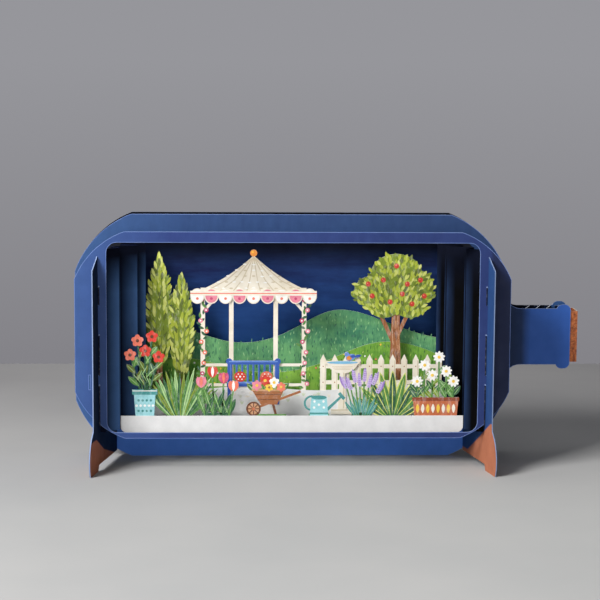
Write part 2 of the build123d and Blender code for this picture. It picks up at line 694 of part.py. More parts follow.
def poppy_trough():
    foot = FRONT_FLOOR_TOP
    left = 59.0
    right = 81.5
    shapes = [polygon((left + 1.2, PLANT_FOOT), (right - 1.2, PLANT_FOOT), (right - 1.2, foot),
                      (right, foot + 9), (left, foot + 9), (left + 1.2, foot))]
    for x, height in ((61.0, 17), (64.6, 25), (68.4, 20), (71.6, 29), (75.2, 22), (78.8, 17)):
        shapes.append(stem(x, foot + 8, x, foot + height, 0.9))
        shapes.append(disc(x, foot + height, 2.5))
        shapes.append(leaf(x, foot + 8, height * 0.42, 2.6, 118))
        shapes.append(leaf(x, foot + 8, height * 0.42, 2.6, 62))
    return front_piece(shapes)


# ---- All the pieces by name ----
def all_pieces():
    pieces = {
        "front_frame": front_frame(),
        "middle_frame": middle_frame(),
        "back_cover": back_cover(),
        "cork_band": cork_band(),
        "front_floor_strip": front_floor_strip(),
        "second_floor_strip": second_floor_strip(),
        "near_hill": near_hill(),
        "far_hills": far_hills(),
        "left_tree_trunks": left_tree_trunks(),
        "tall_poplar_crown": poplar_crown(*POPLARS[0]),
        "short_poplar_crown": poplar_crown(*POPLARS[1]),
        "right_tree_trunk": right_tree_trunk(),
        "right_tree_crown": right_tree_crown(),
        "pavilion_posts": pavilion_posts(),
        "pavilion_roof": pavilion_roof(),
        "roof_valance": roof_valance(),
        "garden_bench": garden_bench(),
        "picket_fence": picket_fence(),
        "birdbath": birdbath(),
        "daisy_pot": daisy_pot(),
        "tall_grass": tall_grass(),
        "tulip_clump": tulip_clump(),
        "wheelbarrow": wheelbarrow(),
        "watering_can": watering_can(),
        "lavender_clump": lavender_clump(),
        "striped_plant": striped_plant(),
        "poppy_trough": poppy_trough(),
    }
    for name, side in (("left", -1), ("right", 1)):
        pieces[name + "_stand"] = side_stand(side)
        pieces[name + "_front_pleat"] = front_pleat(side)
        pieces[name + "_rear_pleat"] = rear_pleat(side)
    for number in range(RIB_COUNT):
        pieces["neck_rib_" + str(number + 1)] = neck_rib(number)
    return pieces


pieces = all_pieces()
boxes = [solid.bounding_box() for solid in pieces.values()]
left = min(box.min.X for box in boxes)
right = max(box.max.X for box in boxes)
front = min(box.min.Y for box in boxes)
back = max(box.max.Y for box in boxes)
to_origin = Pos(-(left + right) / 2, -(front + back) / 2, 0)
for name, solid in pieces.items():
    export_step(to_origin * solid, "parts/" + name + ".step")
print("box", right - left, back - front, "window centre at", to_origin.position)
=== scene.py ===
import random
from math import cos, hypot, pi, radians, sin

import bmesh
import bpy
from mathutils import Matrix, Vector


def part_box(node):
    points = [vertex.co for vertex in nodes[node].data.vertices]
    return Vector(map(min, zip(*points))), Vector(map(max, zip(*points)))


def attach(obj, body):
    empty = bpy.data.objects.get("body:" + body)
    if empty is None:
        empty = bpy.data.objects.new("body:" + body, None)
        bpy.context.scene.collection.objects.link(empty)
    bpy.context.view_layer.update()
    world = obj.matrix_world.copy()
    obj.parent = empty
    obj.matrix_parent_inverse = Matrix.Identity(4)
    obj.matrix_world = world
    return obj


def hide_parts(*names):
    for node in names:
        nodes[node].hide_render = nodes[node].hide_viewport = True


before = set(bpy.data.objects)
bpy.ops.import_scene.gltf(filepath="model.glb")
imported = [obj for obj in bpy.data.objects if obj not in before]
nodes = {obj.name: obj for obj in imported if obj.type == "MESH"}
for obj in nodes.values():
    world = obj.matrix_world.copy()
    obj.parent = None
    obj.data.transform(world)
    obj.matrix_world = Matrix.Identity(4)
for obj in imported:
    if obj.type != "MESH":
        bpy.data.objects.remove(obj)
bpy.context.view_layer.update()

# The looks of a paper card in the shape of a bottle that lies on its side, with a layered
# garden behind its window. Places on the card are (x, z) in millimetres: x from the middle
# of the window towards the cork, z up from the table. Depth is in metres, as in the frame.
MM = 0.001
FRONT_LOW, FRONT_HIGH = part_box("front_frame")
MIDDLE_X = (FRONT_LOW.x + FRONT_HIGH.x) / 2
FRONT_Y = FRONT_LOW.y

# ---- Sizes of what is added, in millimetres ----
SCENE_CARD = 0.4
PRINT_LIFT = 0.03           # one layer of print stands this far out of the one below it
PRINT_ROOT = 0.1            # and reaches this far into it
LAY_STEP = 0.003            # shapes that overlap in one layer are laid a hair apart
LAY_COUNT = 10
GARDEN_FOOT = 20.5          # the front garden starts here, behind the front strip
STRIP_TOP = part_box("front_floor_strip")[1].z / MM

# ---- Sizes in metres ----
# The painted highlight along the cut edges
RIM_LIFT = 0.01 * MM
RIM_WIDTH = 0.22 * MM
GRAIN_DEPTH = 0.04 * MM
ONE_DEPTH = 0.01 * MM       # corners that differ less than this are at one depth
ONE_PLACE = 0.001 * MM
STRAIGHT = 0.001            # radians

# ---- Where the print changes, and where light and shade are painted into it, in metres. A pair is where a change starts and where it ends ----
BODY_HALF = 107.0 * MM
# Painted shade towards the cork end and painted light at the left end of the blue sheets
CORK_END_SHADE = (MIDDLE_X - BODY_HALF, MIDDLE_X + BODY_HALF)
LEFT_END_LIGHT = (MIDDLE_X - 0.55 * BODY_HALF, MIDDLE_X - BODY_HALF)
# The right stand's painted shadow on the frame beyond it
STAND_SHADE = (MIDDLE_X + 94.5 * MM, MIDDLE_X + 96.5 * MM)
# The body's foot is painted lighter towards the bottom, as painted light
FOOT_PAINTED_LIGHT = (18.0 * MM, 12.0 * MM)
# The tunnel side of the middle frame is painted dark as shade
TUNNEL_HALF = 91.5 * MM             # the part of the middle frame that only the window shows
TUNNEL_LOW = 20.0 * MM
TUNNEL_HIGH = 109.0 * MM
TUNNEL_CORNER = 196.5 * MM          # its upper corners are cut where x out and z add up to this
NECK_X = MIDDLE_X + 106.0 * MM
# The neck is painted lighter as painted light, with the body's painted shadow across its root
NECK_PAINTED_LIGHT = (NECK_X - 4.0 * MM, NECK_X + 12.0 * MM)
NECK_SHADOW_START = (NECK_X - 3.0 * MM, NECK_X - 1.0 * MM)
NECK_SHADOW_END = (NECK_X + 14.5 * MM, NECK_X + 10.0 * MM)
# The back cover's neck, between the sky and the lip, is painted dark as shade
SKY_SIDE = (NECK_X - 0.5 * MM, NECK_X + 0.5 * MM)
LIP_SIDE = (NECK_X + 26.2 * MM, NECK_X + 26.8 * MM)
SKY_LOWER = (40.0 * MM, 92.0 * MM)
# Painted shadow at the top of the sky, then at the top of the side walls
TOP_SHADOW_SPAN = (92.0 * MM, 108.0 * MM)
PLEAT_TOP_SHADOW = (86.0 * MM, 104.0 * MM)
# Bands of the side walls, each painted with shade from light at its ridge to dark at its outer side, in
# millimetres out from the middle: (ridge, outer side)
PLEAT_BANDS = ((72.6, 76.4), (75.9, 84.0), (84.0, 90.6))
REAR_BANDS = ((90.0, 96.0),)
# Where the foot's brown ends, in millimetres: (depth behind the front frame, z), front to back
FOOT_PRINT_TOP = {"left": ((-4.4, 16.2), (9.0, 8.9), (36.6, 0.7)),
                  "right": ((-7.3, 24.4), (9.0, 14.6), (26.0, 4.9))}
FOOT_PRINT_EDGE = 0.3 * MM
# How far each stand's inward face is painted dark as shade
INSIDE_SHADE = {"left": 0.8, "right": 0.0}
STAND_SPLAY = 11.0                  # degrees
ACROSS = (0, 1, 0)                  # the way that a sheet faces when it lies along the card


def ink(red, green, blue):
    """An ink as it looks in daylight, 0 to 255, in the linear numbers that shaders use."""
    def linear(value):
        value = value / 255
        return value / 12.92 if value <= 0.04045 else ((value + 0.055) / 1.055) ** 2.4
    return (linear(red), linear(green), linear(blue), 1.0)


# ---- Inks ----
PAPER = ink(226, 224, 218)
FRONT_BLUE = ink(37, 56, 116)
FRONT_LIGHT = ink(50, 77, 136)
BODY_BLUE = ink(38, 66, 114)
BODY_LIGHT = ink(56, 92, 146)
# Painted light on the neck, and the body's painted shadow at its root
NECK_BLUE = ink(48, 94, 178)
NECK_SHADOW = ink(6, 24, 44)
# Painted light along the body's foot
FOOT_BLUE = ink(62, 116, 208)
COVER_EDGE = ink(132, 150, 186)
# Painted highlight along the sheets' cut edges
RIM_HIGHLIGHT = ink(96, 122, 186)
# Painted light on the left side of the blue sheets
SIDE_LIGHT = ink(64, 100, 152)
PLEAT_BLUE = ink(58, 84, 132)
# Near-black navy that is painted as shade: in the tunnel, in the walls, on the ribs and the back cover's
# neck, on the stands, beyond the right stand and towards the cork
SHADE_NAVY = ink(8, 12, 26)
# Painted shadow: near-black at the top of the sky and on the right wall's edges
SHADOW_BLACK = ink(5, 7, 15)
SKY_MIDDLE = ink(16, 28, 70)
SKY_LOW = ink(34, 82, 150)
SKY_BRUSH = ink(54, 104, 176)
# Wall inks at the ridge and at the outer side, painted light and shade: the left wall lit, the right wall
# in shade
LEFT_WALL = (ink(72, 106, 156), ink(9, 14, 32))
RIGHT_WALL = (ink(22, 32, 54), ink(1, 1, 2))
REAR_WALL = (PLEAT_BLUE, ink(14, 20, 44))
RIB_EDGE = ink(240, 243, 248)
# Painted shadow inside the slits
SLIT_SHADOW = ink(8, 12, 38)
FOOT_BROWN = ink(166, 101, 74)
FOOT_BRUSH = ink(190, 124, 92)
CORK = ink(206, 116, 66)
CORK_DARK = ink(112, 56, 34)
CORK_CELL = ink(224, 150, 92)
CORK_EDGE = ink(228, 214, 196)
GROUND_WHITE = ink(224, 223, 221)
GROUND_SHADE = ink(208, 208, 206)
TUFTS = (ink(214, 216, 200), ink(200, 208, 180), ink(222, 214, 200))
CREAM = ink(238, 230, 214)
CREAM_SHADE = ink(205, 190, 160)
LIME = ink(172, 184, 60)
LIME_LIGHT = ink(206, 212, 110)
LIME_DARK = ink(122, 142, 44)
OLIVE = ink(98, 112, 44)
LEAF_GREEN = ink(84, 132, 62)
LEAF_DARK = ink(44, 88, 56)
LEAF_PALE = ink(160, 196, 128)
TEAL = ink(70, 142, 140)
TEAL_PALE = ink(150, 205, 210)
HILL_GREEN = ink(88, 146, 52)
HILL_GREENS = (HILL_GREEN, ink(140, 186, 74), ink(48, 104, 40))
NEAR_STROKES = (ink(176, 206, 96), ink(56, 108, 40), ink(120, 170, 60))
HILL_TEALS = (ink(64, 128, 96), ink(110, 170, 110), ink(36, 92, 78))
FAR_STROKES = (ink(140, 190, 130), ink(44, 100, 82), ink(96, 160, 110))
BARK = ink(156, 98, 60)
BARK_LIGHT = ink(196, 146, 108)
BARK_DARK = ink(104, 62, 40)
RED = ink(206, 62, 48)
CORAL = ink(232, 120, 96)
PINK = ink(226, 132, 150)
ROSE = ink(196, 70, 110)
YELLOW = ink(240, 196, 70)
ORANGE = ink(224, 140, 60)
WHITE = ink(244, 242, 236)
LILAC = ink(150, 120, 190)
LILAC_LIGHT = ink(190, 168, 216)
BENCH_BLUE = ink(50, 84, 164)
BENCH_LIGHT = ink(104, 140, 206)
BENCH_WASH = ink(70, 106, 186)
WATER = ink(120, 180, 214)
TERRACOTTA = ink(190, 104, 66)
TERRACOTTA_DARK = ink(140, 68, 42)
BRUSH_WHITE = (1, 1, 1, 1)
BRUSH_DARK = (0.02, 0.02, 0.02, 1)


# ---- Materials ----
class Shader:
    """The nodes of a material, or of the world, added one by one and linked by name."""

    def __init__(self, name, kind=bpy.data.materials, surface="Principled BSDF"):
        self.material = kind.new(name)
        self.material.use_nodes = True
        self.tree = self.material.node_tree
        self.surface = self.tree.nodes[surface]

    def add(self, kind, values=(), **settings):
        node = self.tree.nodes.new(kind)
        for key, value in settings.items():
            setattr(node, key, value)
        for socket, value in dict(values).items():
            self.feed(node, socket, value)
        return node

    def feed(self, node, socket, value):
        if isinstance(value, bpy.types.NodeSocket):
            self.tree.links.new(value, node.inputs[socket])
        else:
            node.inputs[socket].default_value = value

    def coordinates(self, scale=(1, 1, 1), turn=(0, 0, 0)):
        place = self.add("ShaderNodeTexCoord").outputs["Object"]
        mapping = self.add("ShaderNodeMapping", {"Vector": place, "Scale": scale, "Rotation": turn})
        return mapping.outputs["Vector"]

    def noise(self, scale, detail=4.0, roughness=0.55, stretch=(1, 1, 1), turn=(0, 0, 0)):
        """Cloudy noise; scale is in features per metre."""
        return self.add("ShaderNodeTexNoise", {"Vector": self.coordinates(stretch, turn), "Scale": scale,
                                               "Detail": detail, "Roughness": roughness}).outputs["Fac"]

    def spread(self, value, low, high, to_low=0.0, to_high=1.0):
        return self.add("ShaderNodeMapRange", {"Value": value, "From Min": low, "From Max": high,
                                               "To Min": to_low, "To Max": to_high}).outputs["Result"]

    def mix(self, amount, first, second, blend="MIX"):
        node = self.add("ShaderNodeMix", data_type="RGBA", blend_type=blend)
        self.feed(node, 0, amount)
        self.feed(node, 6, first)
        self.feed(node, 7, second)
        return node.outputs[2]

    def mix_value(self, amount, first, second):
        node = self.add("ShaderNodeMix", {0: amount, 2: first, 3: second}, data_type="FLOAT")
        return node.outputs[0]

    def math(self, operation, first, second=0.0):
        return self.add("ShaderNodeMath", {0: first, 1: second}, operation=operation).outputs[0]

    def height(self, axis):
        """Object coordinate along one axis, in metres."""
        place = self.add("ShaderNodeTexCoord").outputs["Object"]
        return self.add("ShaderNodeSeparateXYZ", {0: place}).outputs[axis]

    def change(self, axis, span, first, second, amount=1.0):
        """The first colour where the span starts, and the second where it ends."""
        return self.mix(self.spread(self.height(axis), *span, 0.0, amount), first, second)

    def facing(self, direction):
        """How far the surface turns towards a direction, from -1 to 1."""
        normal = self.add("ShaderNodeNewGeometry").outputs["True Normal"]
        return self.add("ShaderNodeVectorMath", {0: normal, 1: direction},
                        operation="DOT_PRODUCT").outputs["Value"]

    def streaked(self, colour, light, amount, scale=240, stretch=0.25):
        """The colour with fine upright streaks of a lighter one."""
        streaks = self.noise(scale, 4.0, 0.6, (1, 1, stretch))
        return self.mix(self.spread(streaks, 0.3, 0.75, 0.0, amount), colour, light)

    def cut_edge(self, printed, edge, across=ACROSS):
        """The print on a sheet's two sides and edge on its cut edges; the sheet faces along across."""
        turned = self.math("ABSOLUTE", self.facing(across))
        return self.mix(self.spread(turned, 0.75, 0.65), printed, edge)

    def upper_edge(self, printed, edge):
        """The same for a strip that stands upright."""
        upward = self.math("ABSOLUTE", self.facing((0, 0, 1)))
        return self.mix(self.spread(upward, 0.4, 0.6), printed, edge)

    def paper_finish(self, colour, roughness=0.72, grain=0.25, sheen=0.28):
        """Uncoated card: the colour with faint fibres, and a fine grain in the surface."""
        self.surface.inputs["Specular IOR Level"].default_value = sheen
        fibres = self.noise(2600, 3.0, 0.6)
        mottle = self.noise(160, 3.0, 0.5)
        colour = self.mix(self.spread(fibres, 0.35, 0.75, 0.0, 0.12), colour, BRUSH_WHITE, "SOFT_LIGHT")
        colour = self.mix(self.spread(mottle, 0.3, 0.7, 0.0, 0.10), colour, (0, 0, 0, 1))
        self.feed(self.surface, "Base Color", colour)
        rough = self.spread(mottle, 0.3, 0.7, roughness - 0.06, roughness + 0.06)
        self.feed(self.surface, "Roughness", rough)
        bump = self.add("ShaderNodeBump", {"Strength": grain, "Distance": GRAIN_DEPTH, "Height": fibres})
        self.feed(self.surface, "Normal", bump.outputs["Normal"])
        return self.material


def blue_cover(name, colour, light):
    """The shader and colour of a sheet with painted light at its left and painted shade towards the cork.
    """
    shader = Shader(name)
    printed = shader.streaked(colour, light, 0.3)
    printed = shader.change("X", CORK_END_SHADE, printed, SHADE_NAVY, 0.3)
    return shader, shader.change("X", LEFT_END_LIGHT, printed, SIDE_LIGHT, 0.5)


def front_print():
    """The frame round the window, with a painted shadow beyond the right stand."""
    shader, printed = blue_cover("front_blue", FRONT_BLUE, FRONT_LIGHT)
    printed = shader.change("X", STAND_SHADE, printed, SHADE_NAVY, 0.55)
    return shader.paper_finish(shader.cut_edge(printed, COVER_EDGE), 0.6)


def body_print():
    """The bottle behind it, with painted light and shade: a lighter foot, a lighter neck with a painted
    shadow at its root, and a tunnel side painted dark as shade.
    """
    shader, printed = blue_cover("body_blue", BODY_BLUE, BODY_LIGHT)
    across = shader.height("X")
    level = shader.height("Z")
    printed = shader.change("Z", FOOT_PAINTED_LIGHT, printed, FOOT_BLUE)
    printed = shader.change("X", NECK_PAINTED_LIGHT, printed, NECK_BLUE)
    # The body's painted shadow on the root of the neck
    root = shader.math("MINIMUM", shader.spread(across, *NECK_SHADOW_START),
                       shader.spread(across, *NECK_SHADOW_END))
    printed = shader.mix(shader.math("MULTIPLY", root, 0.75), printed, NECK_SHADOW)
    # The tunnel side, painted dark as shade
    out = shader.math("ABSOLUTE", shader.math("SUBTRACT", across, MIDDLE_X))
    aside = shader.math("LESS_THAN", out, TUNNEL_HALF)
    above = shader.math("GREATER_THAN", level, TUNNEL_LOW)
    below = shader.math("LESS_THAN", level, TUNNEL_HIGH)
    corner = shader.math("LESS_THAN", shader.math("ADD", out, level), TUNNEL_CORNER)
    inside = shader.math("MULTIPLY", shader.math("MULTIPLY", aside, corner),
                         shader.math("MULTIPLY", above, below))
    printed = shader.mix(inside, printed, SHADE_NAVY)
    return shader.paper_finish(shader.cut_edge(printed, COVER_EDGE), 0.6)


def pleated_blue(name, light, dark, edge, bands=(), fade=1.0):
    """Strips that stand upright. Each band is painted with shade, from light at its ridge to dark at its
    outer side, or at the share fade of the way there, with a painted shadow towards its top."""
    shader = Shader(name)
    printed = shader.streaked(light, BODY_LIGHT, 0.2, 200, 0.2)
    if bands:
        out = shader.math("ABSOLUTE", shader.math("SUBTRACT", shader.height("X"), MIDDLE_X))
        shade = 0.0
        for ridge, outer in bands:
            beyond = shader.math("GREATER_THAN", out, ridge * MM)
            reach = ridge + (outer - ridge) * fade
            shade = shader.mix_value(beyond, shade, shader.spread(out, ridge * MM, reach * MM))
        printed = shader.mix(shade, printed, dark)
        printed = shader.change("Z", PLEAT_TOP_SHADOW, printed, SHADE_NAVY)
    return shader.paper_finish(shader.upper_edge(printed, edge), 0.7, sheen=0.05)


def night_sky():
    """The back cover: inside, an evening sky with a painted shadow at its top, a neck painted dark as
    shade and a blue lip; outside, plain blue.
    """
    shader = Shader("evening_sky")
    sky = shader.change("Z", SKY_LOWER, SKY_LOW, SKY_MIDDLE)
    brushed = shader.noise(90, 5.0, 0.65, (0.35, 1, 1.6))
    sky = shader.mix(shader.spread(brushed, 0.35, 0.75, 0.0, 0.24), sky, SKY_BRUSH)
    sky = shader.change("Z", TOP_SHADOW_SPAN, sky, SHADOW_BLACK)
    outside = shader.streaked(BODY_BLUE, BODY_LIGHT, 0.22)
    # The back cover's neck is painted dark as shade
    neck = shader.change("X", LIP_SIDE, SHADE_NAVY, BODY_LIGHT)
    inside = shader.change("X", SKY_SIDE, sky, neck)
    printed = shader.mix(shader.spread(shader.facing(ACROSS), -0.1, 0.1), inside, outside)
    return shader.paper_finish(shader.cut_edge(printed, COVER_EDGE), 0.62, sheen=0.12)


def stand_print(side):
    """Blue board whose foot is brown up to the line in FOOT_PRINT_TOP, and whose inward face is painted
    darker as shade.
    """
    shader = Shader("stand_print_" + side)
    lean = radians(STAND_SPLAY)
    sign = -1 if side == "left" else 1
    blue = shader.streaked(BODY_BLUE, BODY_LIGHT, 0.2, 260)
    brush = shader.noise(420, 5.0, 0.7, (1, 1, 0.3))
    brown = shader.mix(shader.spread(brush, 0.3, 0.7, 0.0, 0.35), FOOT_BROWN, FOOT_BRUSH)
    # The face that turns inward is painted darker, as shade, by the share in INSIDE_SHADE
    inward = shader.facing((-sign * cos(lean), -sin(lean), 0))
    blue = shader.mix(shader.spread(inward, 0.3, 0.5, 0.0, INSIDE_SHADE[side]), blue, SHADE_NAVY)
    (y0, z0), (y1, z1), (y2, z2) = FOOT_PRINT_TOP[side]
    depth = shader.math("SUBTRACT", shader.height("Y"), FRONT_Y)
    near = shader.spread(depth, y0 * MM, y1 * MM, z0 * MM, z1 * MM)
    far = shader.spread(depth, y1 * MM, y2 * MM, 0.0, (z2 - z1) * MM)
    outline = shader.math("ADD", near, far)
    over = shader.math("SUBTRACT", shader.height("Z"), outline)
    printed = shader.mix(shader.spread(over, -FOOT_PRINT_EDGE, FOOT_PRINT_EDGE), brown, blue)
    printed = shader.cut_edge(printed, COVER_EDGE, (sign * cos(lean), sin(lean), 0))
    return shader.paper_finish(printed, 0.62, sheen=0.1)


def cork_print():
    shader = Shader("cork_print")
    cells = shader.add("ShaderNodeTexVoronoi", {"Vector": shader.coordinates(), "Scale": 900.0})
    grains = shader.noise(700, 5.0, 0.7)
    colour = shader.mix(shader.spread(grains, 0.35, 0.65), CORK_DARK, CORK)
    spots = shader.spread(cells.outputs["Distance"], 0.1, 0.4, 0.5, 0.0)
    colour = shader.mix(spots, colour, CORK_CELL)
    return shader.paper_finish(shader.upper_edge(colour, CORK_EDGE), 0.7)


def plain_card(name, colour, shade):
    shader = Shader(name)
    washes = shader.noise(110, 4.0, 0.6)
    printed = shader.mix(shader.spread(washes, 0.35, 0.7, 0.0, 0.5), colour, shade)
    return shader.paper_finish(shader.cut_edge(printed, PAPER), 0.75)


def hill_print(name, colour, light, dark):
    """A painted meadow: broad washes, and short upright strokes of the darker and lighter ink."""
    shader = Shader(name)
    washes = shader.noise(70, 4.0, 0.6, (0.6, 1, 1.4))
    strokes = shader.noise(520, 3.0, 0.7, (1.6, 1, 0.35), (0, radians(14), 0))
    printed = shader.mix(shader.spread(washes, 0.35, 0.65), colour, light)
    printed = shader.mix(shader.spread(strokes, 0.52, 0.66, 0.0, 0.55), printed, dark)
    printed = shader.mix(shader.spread(strokes, 0.46, 0.36, 0.0, 0.4), printed, light)
    return shader.paper_finish(shader.cut_edge(printed, PAPER), 0.75)


def painted(name, streak, amount):
    """Print in the inks of the piece's own ink attribute, with brush marks that run along streak."""
    shader = Shader(name)
    own = shader.add("ShaderNodeAttribute", attribute_name="ink").outputs["Color"]
    marks = shader.noise(900, 4.0, 0.7, streak)
    light = shader.mix(shader.spread(marks, 0.5, 0.75, 0.0, amount), own, BRUSH_WHITE)
    printed = shader.mix(shader.spread(marks, 0.48, 0.25, 0.0, amount), light, BRUSH_DARK)
    return shader.paper_finish(printed, 0.76)


def dress_cad():
    """The card's own sheets keep their shape and get their print, with painted light and shade."""
    # The neck's ribs are painted near-black as shade, with pale cut edges
    ribs = pleated_blue("rib_shade", SHADE_NAVY, SHADE_NAVY, RIB_EDGE)
    # The left wall is painted lit and the right wall painted in shade
    walls = {"left": pleated_blue("left_wall", *LEFT_WALL, SKY_MIDDLE, PLEAT_BANDS),
             "right": pleated_blue("right_wall", *RIGHT_WALL, SHADOW_BLACK, PLEAT_BANDS, 0.5)}
    rear = pleated_blue("rear_wall", *REAR_WALL, SKY_MIDDLE, REAR_BANDS)
    cream = plain_card("cream_card", CREAM, CREAM_SHADE)
    white = plain_card("white_card", GROUND_WHITE, GROUND_SHADE)
    looks = {
        "front_frame": front_print(),
        "middle_frame": body_print(),
        "back_cover": night_sky(),
        "cork_band": cork_print(),
        "front_floor_strip": white, "second_floor_strip": white,
        "far_hills": hill_print("far_hill_print", *HILL_TEALS),
        "near_hill": hill_print("near_hill_print", *HILL_GREENS),
        "pavilion_posts": cream, "pavilion_roof": cream, "roof_valance": cream,
        "picket_fence": cream, "birdbath": cream,
        "garden_bench": plain_card("bench_paint", BENCH_BLUE, BENCH_WASH),
        "left_stand": stand_print("left"), "right_stand": stand_print("right"),
    }
    for name in nodes:
        if name.endswith("_front_pleat"):
            looks[name] = walls[name.split("_")[0]]
        elif name.endswith("_rear_pleat"):
            looks[name] = rear
        elif name.startswith("neck_rib"):
            looks[name] = ribs
    for name, look in looks.items():
        mesh = nodes[name].data
        mesh.materials.clear()
        mesh.materials.append(look)


# ---- Die-cut pieces: flat shapes with an ink and a thickness each ----
def step(x, z, angle, wide, high=None):
    """The place on a circle, or an oval if high is given, round (x, z)."""
    turn = radians(angle)
    return x + cos(turn) * wide, z + sin(turn) * (wide if high is None else high)


class Cutting:
    """Shapes cut from card and printed, gathered into one piece that faces the front."""

    def __init__(self, node):
        self.node = node
        self.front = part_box(node)[0].y
        self.mesh = bmesh.new()
        self.lift = self.mesh.faces.layers.float.new("lift")
        self.ink = self.mesh.loops.layers.float_color.new("ink")
        self.bare = self.mesh.faces.layers.int.new("bare_edge")
        self.laid = 0

    def lay(self, face, colour, level):
        """Level 0 is the card itself; levels from 1 are layers of print on it."""
        self.laid += 1
        step = self.laid % LAY_COUNT * LAY_STEP
        if level == 0:
            back = self.front + SCENE_CARD * MM
            face[self.lift] = (SCENE_CARD + step) * MM
        else:
            back = self.front + PRINT_ROOT * MM
            face[self.lift] = (PRINT_ROOT + level * PRINT_LIFT + step) * MM
        face[self.bare] = int(level == 0)
        for vertex in face.verts:
            vertex.co.y = back
        for loop in face.loops:
            loop[self.ink] = colour
        return face

    def polygon(self, points, colour, level=0):
        corners = [self.mesh.verts.new((MIDDLE_X + x * MM, 0, z * MM)) for x, z in points]
        return self.lay(self.mesh.faces.new(corners), colour, level)

    def round(self, x, z, half_width, half_height, colour, level=0, turn=0.0, segments=16, point=0.0):
        """An oval; point from 0 to 1 draws both its ends out like a leaf's."""
        made = bmesh.ops.create_circle(self.mesh, cap_ends=True, segments=segments, radius=1.0)
        for vertex in made["verts"]:
            vertex.co.x *= (1 - point) + point * abs(vertex.co.x)
        place = Matrix.Translation((MIDDLE_X + x * MM, 0, z * MM))
        size = Matrix.Diagonal((half_width * MM, half_height * MM, 1, 1))
        upright = Matrix.Rotation(pi / 2, 4, "X")
        tilt = Matrix.Rotation(radians(turn), 4, "Z")
        bmesh.ops.transform(self.mesh, matrix=place @ upright @ tilt @ size, verts=made["verts"])
        return self.lay(made["verts"][0].link_faces[0], colour, level)

    def leaf(self, x, z, length, width, angle, colour, level=0, rib=None):
        """A pointed leaf that grows from (x, z); angle 90 is upright. rib is the ink of its midrib."""
        middle = step(x, z, angle, length / 2)
        self.round(*middle, width / 2, length / 2, colour, level, angle - 90, 14, 0.8)
        if rib:
            self.round(*middle, width * 0.07, length * 0.42, rib, level + 1, angle - 90, 8, 0.8)

    def line(self, start, end, width, colour, level=0, end_width=None):
        """A straight stroke, stem or post that may taper."""
        (x0, z0), (x1, z1) = start, end
        length = hypot(x1 - x0, z1 - z0)
        dx, dz = (z0 - z1) / length / 2, (x1 - x0) / length / 2
        tip = width if end_width is None else end_width
        self.polygon([(x0 + dx * width, z0 + dz * width), (x0 - dx * width, z0 - dz * width),
                      (x1 - dx * tip, z1 - dz * tip), (x1 + dx * tip, z1 + dz * tip)], colour, level)

    def box(self, left, right, low, high, colour, level=0):
        self.polygon([(left, low), (right, low), (right, high), (left, high)], colour, level)

    def flower(self, x, z, radius, petals, petal_ink, heart_ink, level=1, start=90.0):
        """A disc of card with petals and a heart printed on it."""
        self.round(x, z, radius * 0.8, radius * 0.8, petal_ink, 0, segments=14)
        for number in range(petals):
            angle = start + number * 360 / petals
            wide = radius * min(0.48, 2.2 / petals)
            self.round(*step(x, z, angle, radius * 0.56), wide, radius * 0.5, petal_ink,
                       level + number % 2, angle - 90, 10)
        self.round(x, z, radius * 0.28, radius * 0.28, heart_ink, level + 3, segments=10)

    def finish(self, name, look, hide=True):
        """Gives every shape its thickness and makes the piece; it stands for its CAD node if hide."""
        mesh = self.mesh
        bmesh.ops.recalc_face_normals(mesh, faces=mesh.faces[:])
        fronts = bmesh.ops.extrude_face_region(mesh, geom=mesh.faces[:], use_keep_orig=True)
        raised = [item for item in fronts["geom"] if isinstance(item, bmesh.types.BMFace)]
        flat = [face for face in raised if len({round(v.co.y, 7) for v in face.verts}) == 1]
        moved = set()
        for face in flat:
            touching = [vertex for vertex in face.verts if vertex not in moved]
            if touching:
                bmesh.ops.translate(mesh, verts=touching, vec=(0, -face[self.lift], 0))
                moved.update(touching)
        for face in mesh.faces:
            depths = [vertex.co.y for vertex in face.verts]
            if max(depths) - min(depths) > ONE_DEPTH and face[self.bare]:
                for loop in face.loops:
                    loop[self.ink] = PAPER
        bmesh.ops.recalc_face_normals(mesh, faces=mesh.faces[:])
        store(mesh, name, look, self.node if hide else None)


def linked(name, data):
    made = bpy.data.objects.new(name, data)
    bpy.context.scene.collection.objects.link(made)
    return made


def linked_mesh(mesh, name, look):
    data = bpy.data.meshes.new(name)
    mesh.to_mesh(data)
    mesh.free()
    data.materials.append(look)
    return linked(name, data)


def store(mesh, name, look, node=None):
    """A piece of the card; it stands for its CAD node if one is given."""
    piece = linked_mesh(mesh, name, look)
    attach(piece, "root")
    if node:
        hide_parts(node)


# ---- The garden at the front ----
POPPIES = ((-7.0, 17.0), (-3.4, 24.0), (0.4, 19.0), (3.6, 26.0), (6.8, 16.0))


